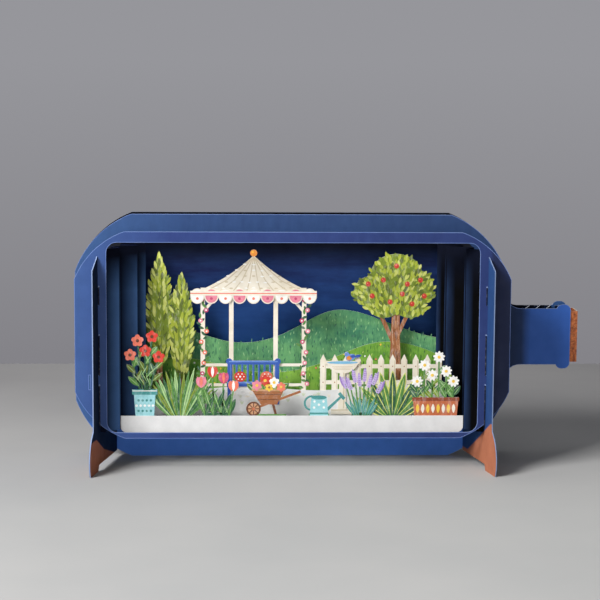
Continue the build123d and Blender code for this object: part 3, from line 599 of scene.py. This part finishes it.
def left_pot(look):
    """A pale teal pot of red poppies."""
    cut = Cutting("daisy_pot")
    x = -72.0
    rim = STRIP_TOP + 13
    chance = random.Random(3)
    for lean, length in POPPIES:
        top = (x + lean, rim + length)
        cut.line((x + lean * 0.3, rim - 1), top, 0.9, LEAF_DARK)
        for share, turn in ((0.15, 34), (0.3, -38), (0.5, 30), (0.66, -32)):
            sx = x + lean * (0.3 + 0.7 * share)
            sz = rim - 1 + (length + 1) * share
            green = chance.choice((LEAF_GREEN, LEAF_DARK, OLIVE))
            cut.leaf(sx, sz, 7.5 - 3 * share, 2.6, 90 - lean * 2 + turn, green, 0, LEAF_PALE)
    for lean, length in POPPIES:
        cut.flower(x + lean, rim + length, 2.9, 5, chance.choice((RED, CORAL)), BARK_DARK, 1)
    cut.polygon([(x - 4.2, GARDEN_FOOT), (x + 4.2, GARDEN_FOOT), (x + 5.4, rim), (x - 5.4, rim)],
                TEAL_PALE)
    cut.box(x - 6.2, x + 6.2, rim - 2.6, rim, TEAL, 0)
    cut.box(x - 6.0, x + 6.0, rim - 0.9, rim - 0.5, WHITE, 1)
    for row, z in enumerate((STRIP_TOP + 2.4, STRIP_TOP + 5.0, STRIP_TOP + 7.6)):
        count = 4 + row % 2
        for number in range(count):
            dot_x = x + (number - (count - 1) / 2) * 2.0
            cut.round(dot_x, z, 0.62, 0.62, WHITE if row % 2 else TEAL, 1, segments=10)
    cut.finish("poppy_pot_print", look)


def grass(look):
    cut = Cutting("tall_grass")
    x = -55.0
    cut.box(x - 5, x + 5, GARDEN_FOOT, STRIP_TOP + 2, LEAF_DARK)
    chance = random.Random(7)
    for number in range(21):
        part = number / 20 - 0.5
        reach = 27 * (1 - 0.9 * part * part) * chance.uniform(0.82, 1.02)
        green = (LEAF_GREEN, LEAF_PALE, LEAF_DARK, LIME_DARK)[number % 4]
        rib = LEAF_DARK if green is not LEAF_DARK else LEAF_GREEN
        cut.leaf(x + part * 7, STRIP_TOP - 1.5, reach, 2.1, 90 - part * 92, green, 0, rib)
    cut.finish("tall_grass_print", look)


def tulips(look):
    cut = Cutting("tulip_clump")
    cut.box(-44, -30, GARDEN_FOOT, STRIP_TOP + 1.5, LEAF_DARK)
    stems = ((-42.5, 15, -2.0, PINK), (-38.4, 20, -0.6, RED), (-34.4, 17, 0.8, ROSE),
             (-31.2, 13, 2.4, CORAL))
    for number, (x, height, lean, petal) in enumerate(stems):
        top_x = x + lean
        top_z = STRIP_TOP + height
        cut.line((x, STRIP_TOP - 1), (top_x, top_z), 0.9, LEAF_GREEN)
        cut.leaf(x, STRIP_TOP, height * 0.8, 2.6, 110, LEAF_GREEN, 0, LEAF_PALE)
        cut.leaf(x, STRIP_TOP, height * 0.7, 2.6, 68, LEAF_DARK, 0, LEAF_GREEN)
        cut.round(top_x, top_z + 1.6, 2.1, 2.8, petal, 0, point=0.35)
        cut.leaf(top_x - 1.0, top_z - 0.6, 5.0, 2.4, 98, petal, 1)
        cut.leaf(top_x + 1.0, top_z - 0.6, 5.0, 2.4, 82, petal, 1)
        cut.leaf(top_x, top_z - 0.8, 5.2, 1.5, 90, WHITE if number % 2 else CORAL, 2)
    cut.finish("tulip_print", look)


def barrow(look):
    cut = Cutting("wheelbarrow")
    x = -11.0
    foot = STRIP_TOP
    hub = (x - 8, foot + 3.4)
    cut.line((x + 3, foot), (x + 1.5, foot + 6), 1.2, BARK_DARK)
    cut.line(hub, (x + 15, foot + 12), 1.2, BARK)
    cut.box(x - 8, x + 8, GARDEN_FOOT, foot + 0.8, LEAF_GREEN)
    cut.round(*hub, 3.6, 3.6, BARK_DARK, segments=24)
    cut.round(*hub, 2.7, 2.7, BARK_LIGHT, 1, segments=24)
    for turn in range(0, 180, 45):
        cut.line(step(*hub, turn, -3.2), step(*hub, turn, 3.2), 0.5, BARK_DARK, 2)
    cut.round(*hub, 0.8, 0.8, TERRACOTTA, 3, segments=12)
    chance = random.Random(11)
    for number in range(16):
        part = number / 15 - 0.5
        cut.leaf(x - 1 + part * 13, foot + 12, 5.5, 2.4, 90 - part * 90 + chance.uniform(-14, 14),
                 chance.choice((LEAF_GREEN, LEAF_DARK, LIME_DARK)), 0, LEAF_PALE)
    for dx, dz, radius, petal in ((-6.4, 15, 2.5, PINK), (-2.4, 17.4, 2.8, RED), (2.0, 16.4, 2.6, WHITE),
                                  (5.4, 14.2, 2.3, CORAL), (-0.4, 14.0, 2.0, YELLOW)):
        cut.flower(x + dx, foot + dz, radius, 6, petal, YELLOW if petal is not YELLOW else BARK, 2)
    cut.polygon([(x - 9, foot + 13), (x - 4.5, foot + 5.5), (x + 3.5, foot + 5.5), (x + 7, foot + 13)],
                BARK)
    for share in (0.33, 0.66):
        z = foot + 5.5 + 7.5 * share
        cut.line((x - 4.3 - 4.5 * share, z), (x + 3.3 + 3.5 * share, z), 0.35, BARK_DARK, 1)
    cut.line((x - 9, foot + 12.6), (x + 7, foot + 12.6), 0.9, BARK_LIGHT, 1)
    cut.finish("wheelbarrow_print", look)


def can(look):
    cut = Cutting("watering_can")
    x = 13.0
    foot = STRIP_TOP
    cut.box(x - 5, x + 5, GARDEN_FOOT, foot + 1, LEAF_GREEN)
    cut.line((x + 3, foot + 2), (x + 11, foot + 9.6), 1.7, TEAL, 0, 1.1)
    cut.line((x + 9.8, foot + 11.2), (x + 12.4, foot + 8.2), 1.6, TEAL)
    hub = (x - 3.6, foot + 6.2)
    for turn in range(-70, -294, -16):
        cut.line(step(*hub, turn, 3.4), step(*hub, turn - 16, 3.4), 1.0, TEAL)
    cut.polygon([(x - 4.6, foot), (x + 4.6, foot), (x + 3.8, foot + 9), (x - 3.8, foot + 9)], TEAL_PALE)
    cut.round(x, foot + 9, 3.8, 1.0, TEAL, 1)
    cut.box(x - 4.5, x + 4.5, foot + 0.6, foot + 1.5, TEAL, 1)
    for dot_x, dot_z in ((-2.4, 4.0), (0, 5.4), (2.4, 4.0), (-2.2, 7.0), (2.2, 7.0)):
        cut.round(x + dot_x, foot + dot_z, 0.6, 0.6, WHITE, 1, segments=10)
    cut.finish("watering_can_print", look)


def lavender(look):
    cut = Cutting("lavender_clump")
    cut.box(29, 39, GARDEN_FOOT, STRIP_TOP + 1.5, LEAF_DARK)
    for number in range(8):
        part = number / 7 - 0.5
        x = 34 + part * 7
        top_x = x + part * 9
        height = 19 - 14 * part * part - number % 2 * 2.4
        cut.line((x, STRIP_TOP), (top_x, STRIP_TOP + height), 0.7, LEAF_GREEN)
        cut.leaf(x, STRIP_TOP, height * 0.55, 1.7, 90 - part * 70, TEAL, 0, LEAF_PALE)
        angle = 90 - part * 50
        cut.leaf(top_x, STRIP_TOP + height - 2.4, 7.4, 1.7, angle, LILAC)
        for bead in range(6):
            reach = bead * 1.05 - 1.6
            bx, bz = step(top_x, STRIP_TOP + height, angle, reach)
            for turn in (-42, 42):
                cut.leaf(bx, bz - 0.5, 1.6 - bead * 0.12, 0.8, angle + turn, LILAC_LIGHT, 1 + bead % 2)
    cut.finish("lavender_print", look)


def broad_leaves(look):
    cut = Cutting("striped_plant")
    x = 49.0
    cut.box(x - 4, x + 4, GARDEN_FOOT, STRIP_TOP + 2, LEAF_DARK)
    for rank, number in enumerate((0, 8, 1, 7, 2, 6, 3, 5, 4)):
        part = number / 8 - 0.5
        reach = 24 * (1 - 0.9 * part * part)
        angle = 90 - part * 112
        green = LEAF_GREEN if number % 2 else LEAF_DARK
        start = (x + part * 4, STRIP_TOP - 1.5)
        cut.leaf(*start, reach, 4.6, angle, LIME_LIGHT, 0)
        cut.leaf(*start, reach * 0.96, 3.3, angle, green, 1 + rank, LIME_LIGHT)
    cut.finish("broad_leaf_print", look)


def daisy_trough(look):
    cut = Cutting("poppy_trough")
    left = 59.0
    right = 81.5
    rim = STRIP_TOP + 9
    chance = random.Random(5)
    heads = ((61.0, 17), (64.6, 25), (68.4, 20), (71.6, 29), (75.2, 22), (78.8, 17))
    for x, height in heads:
        cut.line((x, rim - 1), (x, STRIP_TOP + height), 0.8, LEAF_GREEN)
        for share, turn in ((0.05, 36), (0.2, -36), (0.4, 34), (0.6, -34)):
            z = rim - 1 + (height - 8) * share
            cut.leaf(x, z, 6.4 - 2 * share, 2.4, 90 + turn + chance.uniform(-8, 8),
                     chance.choice((LEAF_GREEN, LIME_DARK, LEAF_DARK)), 0, LEAF_PALE)
    for x, height in heads:
        cut.flower(x, STRIP_TOP + height, 2.8, 9, WHITE, YELLOW, 1)
    cut.polygon([(left + 1.2, GARDEN_FOOT), (right - 1.2, GARDEN_FOOT), (right, rim), (left, rim)],
                TERRACOTTA)
    cut.box(left - 0.3, right + 0.3, rim - 1.8, rim, TERRACOTTA_DARK, 1)
    for number in range(8):
        middle = left + 2.4 + number * (right - left - 4.8) / 7
        cut.leaf(middle, STRIP_TOP + 1.2, 4.6, 1.7, 90, CREAM if number % 2 else YELLOW, 1)
    cut.finish("daisy_trough_print", look)


# ---- Trees ----
# node, x, crown's low and high ends, half its width
POPLARS = (("tall_poplar_crown", -65.5, 46.0, 104.0, 5.6),
           ("short_poplar_crown", -54.5, 40.0, 94.0, 5.0))
OAK_X = 52.0
OAK_CROWN = ((52, 92, 13, 11), (40, 84, 9, 8), (62.5, 86, 8, 9), (46, 77, 8, 6), (59, 77, 8, 6))
APPLES = ((40, 82), (45.5, 90), (52, 97), (57.5, 88), (64, 90), (49, 79), (60, 78), (38, 88), (55, 83),
          (66, 82))
TREE_FOOT = 21.0
GOLDEN_ANGLE = 2.39996      # radians; it scatters leaves evenly


def poplar(node, x, low, high, half, look, seed):
    cut = Cutting(node)
    chance = random.Random(seed)
    cut.leaf(x, low, high - low, 2 * half * 0.94, 90, LIME_DARK)
    cut.round(x, (low + high) / 2 - 6, half * 0.94, (high - low) * 0.30, LIME_DARK, 1)
    rows = 30
    for row in range(rows):
        share = row / (rows - 1)
        z = low + 2 + (high - low - 7) * share
        reach = half * (sin(pi * min(1, share * 0.92 + 0.10)) ** 0.7) * 0.92
        for number in range(5):
            offset = (number / 2 - 1) * reach
            tint = chance.choice((LIME, LIME_LIGHT, LIME_DARK, OLIVE, LIME))
            cut.leaf(x + offset * chance.uniform(0.8, 1.0), z + chance.uniform(-0.8, 0.8), 4.4, 1.5,
                     90 - offset / half * 34 + chance.uniform(-8, 8), tint, 2 + (row + number) % 4)
    cut.finish(node + "_print", look)


def tree_ground(cut, chance, left, right, width, count):
    """Green ground whose tufts fill a width from its left."""
    cut.box(left, right, TREE_FOOT, TREE_FOOT + 14, HILL_GREEN, 1)
    for number in range(count):
        x = left + 0.5 + width * number / (count - 1)
        cut.leaf(x, TREE_FOOT + chance.uniform(6, 11.5), 2.4, 0.7, 90 + chance.uniform(-24, 24),
                 chance.choice((LEAF_PALE, LEAF_DARK, LIME)), 2)


def left_trunks(look):
    cut = Cutting("left_tree_trunks")
    chance = random.Random(21)
    tree_ground(cut, chance, -76.0, POPLARS[1][1] + 4, 25, 60)
    for _, x, low, high, half in POPLARS:
        cut.polygon([(x - 1.7, TREE_FOOT), (x + 1.7, TREE_FOOT), (x + 0.9, high - 8), (x - 0.9, high - 8)],
                    BARK, 2)
        cut.line((x, low + 2), (x - half * 0.6, low + 12), 1.0, BARK, 2)
        cut.line((x, low + 5), (x + half * 0.6, low + 15), 1.0, BARK, 2)
        for number in range(26):
            z = TREE_FOOT + 14 + number * (low - TREE_FOOT - 10) / 26
            dx = chance.uniform(-1.1, 1.1)
            cut.line((x + dx, z), (x + dx * 0.9, z + chance.uniform(1.2, 3.0)), 0.25,
                     chance.choice((BARK_LIGHT, BARK_DARK)), 3)
    cut.finish("poplar_trunk_print", look, hide=False)


def oak_crown(look):
    cut = Cutting("right_tree_crown")
    chance = random.Random(9)
    for lobe in OAK_CROWN:
        cut.round(*lobe, LIME_DARK, segments=30)
    for x, z, half_width, half_height in OAK_CROWN:
        count = int(half_width * half_height * 0.85)
        for number in range(count):
            angle = number * GOLDEN_ANGLE
            reach = ((number + 0.5) / count) ** 0.5 * 0.97
            px = x + cos(angle) * reach * half_width
            pz = z + sin(angle) * reach * half_height
            outward = 90 - (px - OAK_X) * 3.0
            tint = chance.choice((LIME, LIME_LIGHT, LIME, OLIVE, LIME_DARK))
            cut.leaf(px, pz - 1.2, chance.uniform(2.6, 3.8), 1.5, outward + chance.uniform(-30, 30),
                     tint, 1 + number % 5)
    for x, z in APPLES:
        cut.round(x, z, 1.25, 1.3, RED, 7, segments=14)
        cut.round(x - 0.35, z + 0.4, 0.35, 0.4, CORAL, 8, segments=8)
    cut.finish("apple_crown_print", look)


def oak_trunk(look):
    cut = Cutting("right_tree_trunk")
    chance = random.Random(13)
    x = OAK_X
    tree_ground(cut, chance, x - 12, 75.0, 35, 70)
    trunk = [(x - 4, TREE_FOOT), (x + 4, TREE_FOOT), (x + 2.2, 60), (x + 1.6, 84), (x - 1.6, 84),
             (x - 2.4, 60)]
    cut.polygon(trunk, BARK, 3)
    cut.line((x, 56), (x - 11, 80), 2.0, BARK, 3)
    cut.line((x, 60), (x + 10, 82), 1.8, BARK, 3)
    for number in range(60):
        share = number / 59
        z = TREE_FOOT + 12 + share * 40
        half = 3.4 - 1.6 * share
        dx = chance.uniform(-half, half) * 0.85
        cut.line((x + dx, z), (x + dx * 0.94, z + chance.uniform(1.6, 4.2)), 0.3,
                 chance.choice((BARK_LIGHT, BARK_DARK, BARK_LIGHT)), 4)
    cut.finish("apple_trunk_print", look, hide=False)


# ---- Pavilion, furniture and hills: print on the CAD's own shapes ----
PAVILION_X = -19.0
PAVILION_HALF = 26.0
ROOF_HALF = 31.0
ROOF_LOW = 84.0
ROOF_HIGH = 103.0
SCALLOPS = 9
GROUND = 34.0


def roof(look):
    cut = Cutting("pavilion_roof")
    for number in range(1, SCALLOPS):
        foot_x = PAVILION_X - ROOF_HALF + number * 2 * ROOF_HALF / SCALLOPS
        bend = (foot_x * 0.55 + PAVILION_X * 0.45, ROOF_LOW + (ROOF_HIGH - ROOF_LOW) * 0.36)
        cut.line((foot_x, ROOF_LOW + 1), bend, 0.45, CREAM_SHADE, 1)
        cut.line(bend, (PAVILION_X, ROOF_HIGH - 0.6), 0.45, CREAM_SHADE, 1)
    chance = random.Random(17)
    for row in range(5):
        z = ROOF_LOW + 3 + row * 2.9
        reach = ROOF_HALF * (1 - (z - ROOF_LOW) / (ROOF_HIGH - ROOF_LOW)) ** 1.25 * 0.88
        count = max(3, int(reach / 1.6))
        for number in range(count):
            x = PAVILION_X + (number / (count - 1) * 2 - 1) * reach
            cut.round(x, z + chance.uniform(-0.2, 0.2), 0.9, 0.35, chance.choice((CREAM_SHADE, WHITE)), 2,
                      segments=10)
    cut.round(PAVILION_X, ROOF_HIGH + 1.2, 1.7, 1.7, ORANGE, 1)
    cut.round(PAVILION_X - 0.5, ROOF_HIGH + 1.7, 0.5, 0.5, YELLOW, 2, segments=10)
    cut.finish("roof_print", look, hide=False)


def valance(look):
    cut = Cutting("roof_valance")
    left = PAVILION_X - ROOF_HALF
    pitch = 2 * ROOF_HALF / SCALLOPS
    for number in range(SCALLOPS):
        x = left + (number + 0.5) * pitch
        cut.round(x, ROOF_LOW - 1.0, pitch / 2 - 0.5, 3.3, PINK if number % 2 else WHITE, 1, segments=20)
        cut.round(x, ROOF_LOW - 2.2, 0.7, 0.7, ROSE if number % 2 else CORAL, 2, segments=10)
    cut.box(left, PAVILION_X + ROOF_HALF, ROOF_LOW - 0.7, ROOF_LOW + 1.5, CREAM, 3)
    cut.box(left, PAVILION_X + ROOF_HALF, ROOF_LOW + 0.1, ROOF_LOW + 0.6, CORAL, 4)
    cut.finish("valance_print", look, hide=False)


def climbing_roses(look):
    cut = Cutting("pavilion_posts")
    chance = random.Random(29)
    for side in (-1, 1):
        post = PAVILION_X + side * (PAVILION_HALF - 1.1)
        for number in range(26):
            z = GROUND + 3 + number * 1.75
            x = post + sin(number * 0.9) * 1.5
            cut.leaf(x, z, 2.9, 1.3, 90 + chance.uniform(-80, 80),
                     chance.choice((LEAF_GREEN, LEAF_DARK)), 1)
            if number % 3 == 1:
                cut.round(x + 0.4, z + 0.5, 1.15, 1.1, chance.choice((PINK, ROSE, CORAL)), 2, segments=12)
                cut.round(x + 0.4, z + 0.5, 0.45, 0.42, WHITE, 3, segments=8)
    cut.finish("rose_print", look, hide=False)


def bench_paint(look):
    cut = Cutting("garden_bench")
    left = PAVILION_X - 13
    right = PAVILION_X + 13
    foot = GROUND - 5
    cut.box(left, right, foot + 10.6, foot + 11.3, BENCH_LIGHT, 1)
    cut.box(left + 1, right - 1, foot + 21.2, foot + 21.8, BENCH_LIGHT, 1)
    for number in range(9):
        x = left + 2 + number * (right - left - 4) / 8
        cut.line((x - 0.2, foot + 11.5), (x - 0.2, foot + 20), 0.25, BENCH_LIGHT, 1)
    for x, shade in ((left + 6.5, RED), (right - 6.5, CORAL)):
        cut.round(x, foot + 14.0, 3.0, 2.6, shade, 2, segments=20)
        cut.round(x, foot + 14.0, 0.5, 0.5, WHITE, 3, segments=10)
        for turn in range(0, 360, 60):
            cut.round(*step(x, foot + 14.0, turn, 1.8, 1.5), 0.35, 0.35, WHITE, 3, segments=8)
    cut.finish("bench_print_lines", look, hide=False)


def fence_paint(look):
    cut = Cutting("picket_fence")
    left, right = ((corner.x - MIDDLE_X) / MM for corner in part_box("picket_fence"))
    pitch = (right - left - 3.0) / 10
    foot = GROUND - 5
    for number in range(11):
        x = left + 1.5 + number * pitch
        cut.line((x + 1.0, foot + 1), (x + 1.0, foot + 22), 0.3, CREAM_SHADE, 1)
        cut.round(x, foot + 11, 0.3, 0.3, BARK, 1, segments=8)
        cut.round(x, foot + 19, 0.3, 0.3, BARK, 1, segments=8)
    cut.finish("fence_print", look, hide=False)


def birdbath_paint(look):
    cut = Cutting("birdbath")
    x = 25.0
    foot = GROUND - 10
    cut.round(x, foot + 26.0, 7.6, 0.7, WATER, 1, segments=24)
    for share in (0.3, 0.5, 0.7):
        reach = 6 * (1 - share * 0.5)
        z = foot + 25 - 3.5 * share
        cut.line((x - reach, z), (x + reach, z), 0.25, CREAM_SHADE, 1)
    cut.line((x + 0.7, foot + 3), (x + 0.7, foot + 21), 0.5, CREAM_SHADE, 1)
    cut.box(x - 5.5, x + 5.5, foot + 2.0, foot + 2.5, CREAM_SHADE, 1)
    cut.finish("birdbath_print", look, hide=False)


def bird(look):
    """A small bird on the rim of the bath, glued to the bath's own card."""
    cut = Cutting("birdbath")
    x = 29.0
    z = 52.6
    cut.line((x - 0.4, z - 2.6), (x - 0.4, z - 1.0), 0.3, BARK_DARK)
    cut.round(x, z, 2.5, 1.6, BENCH_LIGHT, 0, 18, 20)
    cut.round(x - 1.9, z + 1.5, 1.2, 1.15, BENCH_LIGHT, 0, segments=16)
    cut.leaf(x + 1.6, z + 0.2, 3.8, 1.5, 12, BENCH_BLUE)
    cut.round(x - 0.7, z - 0.3, 1.4, 1.1, ORANGE, 1, 18, 14)
    cut.leaf(x - 0.4, z + 0.3, 2.8, 1.4, 8, BENCH_BLUE, 2)
    cut.polygon([(x - 3.0, z + 1.8), (x - 4.0, z + 1.4), (x - 3.0, z + 1.2)], YELLOW, 0)
    cut.round(x - 2.2, z + 1.75, 0.2, 0.2, BARK_DARK, 1, segments=8)
    cut.finish("bird_cut", look, hide=False)


def hill_top(points, x):
    """Roughly the height of a hill's outline at x, straight between its points."""
    for (x0, z0), (x1, z1) in zip(points, points[1:]):
        if x0 <= x <= x1:
            return z0 + (z1 - z0) * (x - x0) / (x1 - x0)
    return points[-1][1]


# Outlines of the hills, (x, z) from left to right
FAR_HILLS = ((-79, 62), (-58, 66), (-30, 58), (-4, 62), (22, 74), (48, 68), (79, 61))
NEAR_HILL = ((-79, 44), (-52, 50), (-18, 43), (14, 47), (44, 58), (66, 55), (79, 48))
STROKES = 56                # in one row


def meadow(node, outline, low, rows, tints, flowers, look, seed):
    """Rows of short strokes that follow the hill, with a few flowers."""
    cut = Cutting(node)
    chance = random.Random(seed)
    for row in range(rows):
        sink = 1.6 + row * 3.0
        for number in range(STROKES):
            x = -74 + 148 * (number + chance.uniform(0.1, 0.9)) / STROKES
            z = hill_top(outline, x) - sink + chance.uniform(-0.9, 0.5)
            if z < low:
                continue
            cut.leaf(x, z - 0.8, chance.uniform(1.2, 2.2), 0.5, 90 + chance.uniform(-24, 24),
                     chance.choice(tints), 1 + number % 2)
            if chance.random() < flowers:
                cut.round(x + 0.8, z, 0.5, 0.5, chance.choice((WHITE, YELLOW, CORAL)), 3, segments=8)
    cut.finish(node + "_strokes", look, hide=False)


def ground_marks(look):
    """Pale tufts and stones on the white ground."""
    cut = Cutting("second_floor_strip")
    chance = random.Random(31)
    for number in range(70):
        x = -72 + 144 * number / 69 + chance.uniform(-0.8, 0.8)
        z = chance.uniform(27.5, 34.5)
        shade = chance.choice(TUFTS)
        if number % 3:
            for lean in (-26, 0, 26):
                cut.leaf(x, z, 2.1, 0.5, 90 + lean, shade, 1)
        else:
            cut.round(x, z, chance.uniform(0.7, 1.5), 0.5, shade, 1, segments=12)
    cut.finish("ground_print", look, hide=False)


def painted_rim_highlight(node, name, look):
    """A painted highlight: a pale line along a sheet's cut edges, on its front."""
    mesh = bmesh.new()
    mesh.from_mesh(nodes[node].data)
    bmesh.ops.remove_doubles(mesh, verts=mesh.verts[:], dist=ONE_PLACE)
    front = min(vertex.co.y for vertex in mesh.verts)
    other = [face for face in mesh.faces
             if max(vertex.co.y for vertex in face.verts) > front + ONE_DEPTH]
    bmesh.ops.delete(mesh, geom=other, context="FACES")
    bmesh.ops.dissolve_limit(mesh, angle_limit=STRAIGHT, verts=mesh.verts[:], edges=mesh.edges[:])
    rim = set(bmesh.ops.inset_region(mesh, faces=mesh.faces[:], thickness=RIM_WIDTH, use_boundary=True,
                                     use_even_offset=True)["faces"])
    inner = [face for face in mesh.faces if face not in rim]
    bmesh.ops.delete(mesh, geom=inner, context="FACES")
    raised = bmesh.ops.extrude_face_region(mesh, geom=mesh.faces[:], use_keep_orig=True)["geom"]
    moved = [item for item in raised if isinstance(item, bmesh.types.BMVert)]
    bmesh.ops.translate(mesh, verts=moved, vec=(0, -RIM_LIFT, 0))
    bmesh.ops.recalc_face_normals(mesh, faces=mesh.faces[:])
    store(mesh, name, look)


STAND_TABS = ((13.0, 41.7), (47.0, 66.1), (81.2, 89.5))    # each slit's low and high ends
SLIT_EDGE_X = 93.25
SLIT_LOWEST = 22.0          # the marks start no lower than this


def slit_shadows(look):
    """Painted shadow in the slits that hold the stands: a dark strip on the window's side of each slit,
    with a pale dot above it.
    """
    cut = Cutting("front_frame")
    for side in (-1, 1):
        edge = side * SLIT_EDGE_X
        for low, high in STAND_TABS:
            foot = max(low, SLIT_LOWEST)
            cut.box(edge - 0.28, edge + 0.28, foot - 0.3, high + 0.3, SLIT_SHADOW, 1)
            cut.round(edge, high + 0.5, 0.35, 0.35, COVER_EDGE, 2, segments=8)
    cut.finish("slit_shadow_print", look, hide=False)


# ---- The room: floor, lamps and camera ----
CAMERA_PLACE = (-30.6, -868.0, 197.4)       # millimetres from the foot of the window's middle
CAMERA_TURN = 2.22                          # degrees
CAMERA_DIP = 7.46
CAMERA_ROLL = 0.37
CAMERA_LENS = 109.4
SENSOR_WIDTH = 36
FLOOR_HALF = (3.0, 1.5)                     # metres, from here on
FLOOR_BACK = 0.30
# The floor is painted lighter at the right and darker far back: painted light and shade
FLOOR_SIDE_BLEND = (-0.12, 0.14)
FLOOR_DEPTH_BLEND = (-0.10, FLOOR_BACK - 0.06)
FLOOR_LEFT = (ink(163, 163, 162), ink(171, 170, 168))
FLOOR_RIGHT = (ink(180, 180, 178), ink(188, 187, 184))
FLOOR_FAR = (ink(146, 144, 144), ink(156, 154, 153))
ROOM_LIGHT = (0.11, 0.115, 0.13, 1)
# The wall that the camera sees is painted darker towards the floor, as shade
WALL_LOW = ink(132, 131, 136)
WALL_HIGH = ink(150, 150, 155)
WALL_BLEND = (-0.16, 0.0)
# name, place, height that it aims at, width and depth, power
LAMPS = (("key", (-0.62, -0.55, 0.66), 0.06, (0.38, 0.38), 14.5),
         ("fill", (-0.1, -1.4, 0.16), 0.06, (0.8, 0.25), 3.6),
         ("top", (-0.1, 0.15, 1.1), 0.05, (0.8, 0.6), 1.8))


def floor_material():
    """Clouded grey with painted light and shade: darker at the left than at the right, and darkest far
    back.
    """
    shader = Shader("pale_floor")
    cloud = shader.spread(shader.noise(9, 4.0, 0.5), 0.3, 0.7)
    left, right, far = (shader.mix(cloud, *pair) for pair in (FLOOR_LEFT, FLOOR_RIGHT, FLOOR_FAR))
    near = shader.change("X", FLOOR_SIDE_BLEND, left, right)
    colour = shader.change("Y", FLOOR_DEPTH_BLEND, near, far)
    shader.feed(shader.surface, "Base Color", colour)
    shader.feed(shader.surface, "Roughness", 0.9)
    return shader.material


def room():
    mesh = bmesh.new()
    bmesh.ops.create_grid(mesh, x_segments=8, y_segments=8, size=1.0)
    bmesh.ops.scale(mesh, vec=(*FLOOR_HALF, 1.0), verts=mesh.verts[:])
    bmesh.ops.translate(mesh, vec=(0, FLOOR_BACK - FLOOR_HALF[1], 0), verts=mesh.verts[:])
    floor = linked_mesh(mesh, "floor", floor_material())


def lamp(name, place, aim_height, size, power):
    data = bpy.data.lights.new(name, "AREA")
    data.shape = "RECTANGLE"
    data.size, data.size_y = size
    data.energy = power
    light = linked(name, data)
    light.location = place
    aim = Vector((0, 0, aim_height)) - Vector(place)
    light.rotation_euler = aim.to_track_quat("-Z", "Y").to_euler()


def world_light():
    """A dim, even light; the camera itself sees a grey wall instead, painted darker towards the floor as
    shade.
    """
    shader = Shader("soft_room", bpy.data.worlds, "Background")
    bpy.context.scene.world = shader.material
    direction = shader.add("ShaderNodeTexCoord").outputs["Generated"]
    level = shader.add("ShaderNodeSeparateXYZ", {0: direction}).outputs["Z"]
    wall = shader.mix(shader.spread(level, *WALL_BLEND), WALL_LOW, WALL_HIGH)
    seen = shader.add("ShaderNodeLightPath").outputs["Is Camera Ray"]
    shader.feed(shader.surface, "Color", shader.mix(seen, ROOM_LIGHT, wall))


def camera():
    data = bpy.data.cameras.new("camera")
    data.lens = CAMERA_LENS
    data.sensor_width = SENSOR_WIDTH
    eye = linked("camera", data)
    turn = radians(CAMERA_TURN)
    dip = radians(CAMERA_DIP)
    ahead = Vector((sin(turn) * cos(dip), cos(turn) * cos(dip), -sin(dip)))
    right = Vector((cos(turn), -sin(turn), 0))
    up = right.cross(ahead)
    roll = radians(CAMERA_ROLL)
    right, up = right * cos(roll) + up * sin(roll), up * cos(roll) - right * sin(roll)
    place = Vector((MIDDLE_X, FRONT_Y, 0)) + Vector(CAMERA_PLACE) * MM
    rows = Matrix((right, up, -ahead)).transposed().to_4x4()
    eye.matrix_world = Matrix.Translation(place) @ rows
    bpy.context.scene.camera = eye


def build():
    dress_cad()
    leaves = painted("leaf_print", (1, 1, 0.4), 0.22)
    objects = painted("painted_card", (0.5, 1, 1), 0.14)
    bark = painted("bark_print", (1.4, 1, 0.2), 0.34)
    left_pot(leaves)
    grass(leaves)
    tulips(leaves)
    barrow(objects)
    can(objects)
    lavender(leaves)
    broad_leaves(leaves)
    daisy_trough(leaves)
    for number, tree in enumerate(POPLARS):
        poplar(*tree, leaves, 40 + number)
    left_trunks(bark)
    oak_crown(leaves)
    oak_trunk(bark)
    roof(objects)
    valance(objects)
    climbing_roses(leaves)
    bench_paint(objects)
    fence_paint(objects)
    birdbath_paint(objects)
    bird(objects)
    meadow("far_hills", FAR_HILLS, 40, 7, FAR_STROKES, 0.0, leaves, 61)
    meadow("near_hill", NEAR_HILL, 36, 5, NEAR_STROKES, 0.10, leaves, 62)
    ground_marks(objects)
    slit_shadows(objects)
    # Painted highlight lines along the front frame's and the body's cut edges
    rim = plain_card("rim_highlight_card", RIM_HIGHLIGHT, COVER_EDGE)
    painted_rim_highlight("front_frame", "front_rim_highlight", rim)
    painted_rim_highlight("middle_frame", "body_rim_highlight", rim)
    room()
    for settings in LAMPS:
        lamp(*settings)
    world_light()
    camera()
    bpy.context.scene.view_settings.view_transform = "Standard"


build()
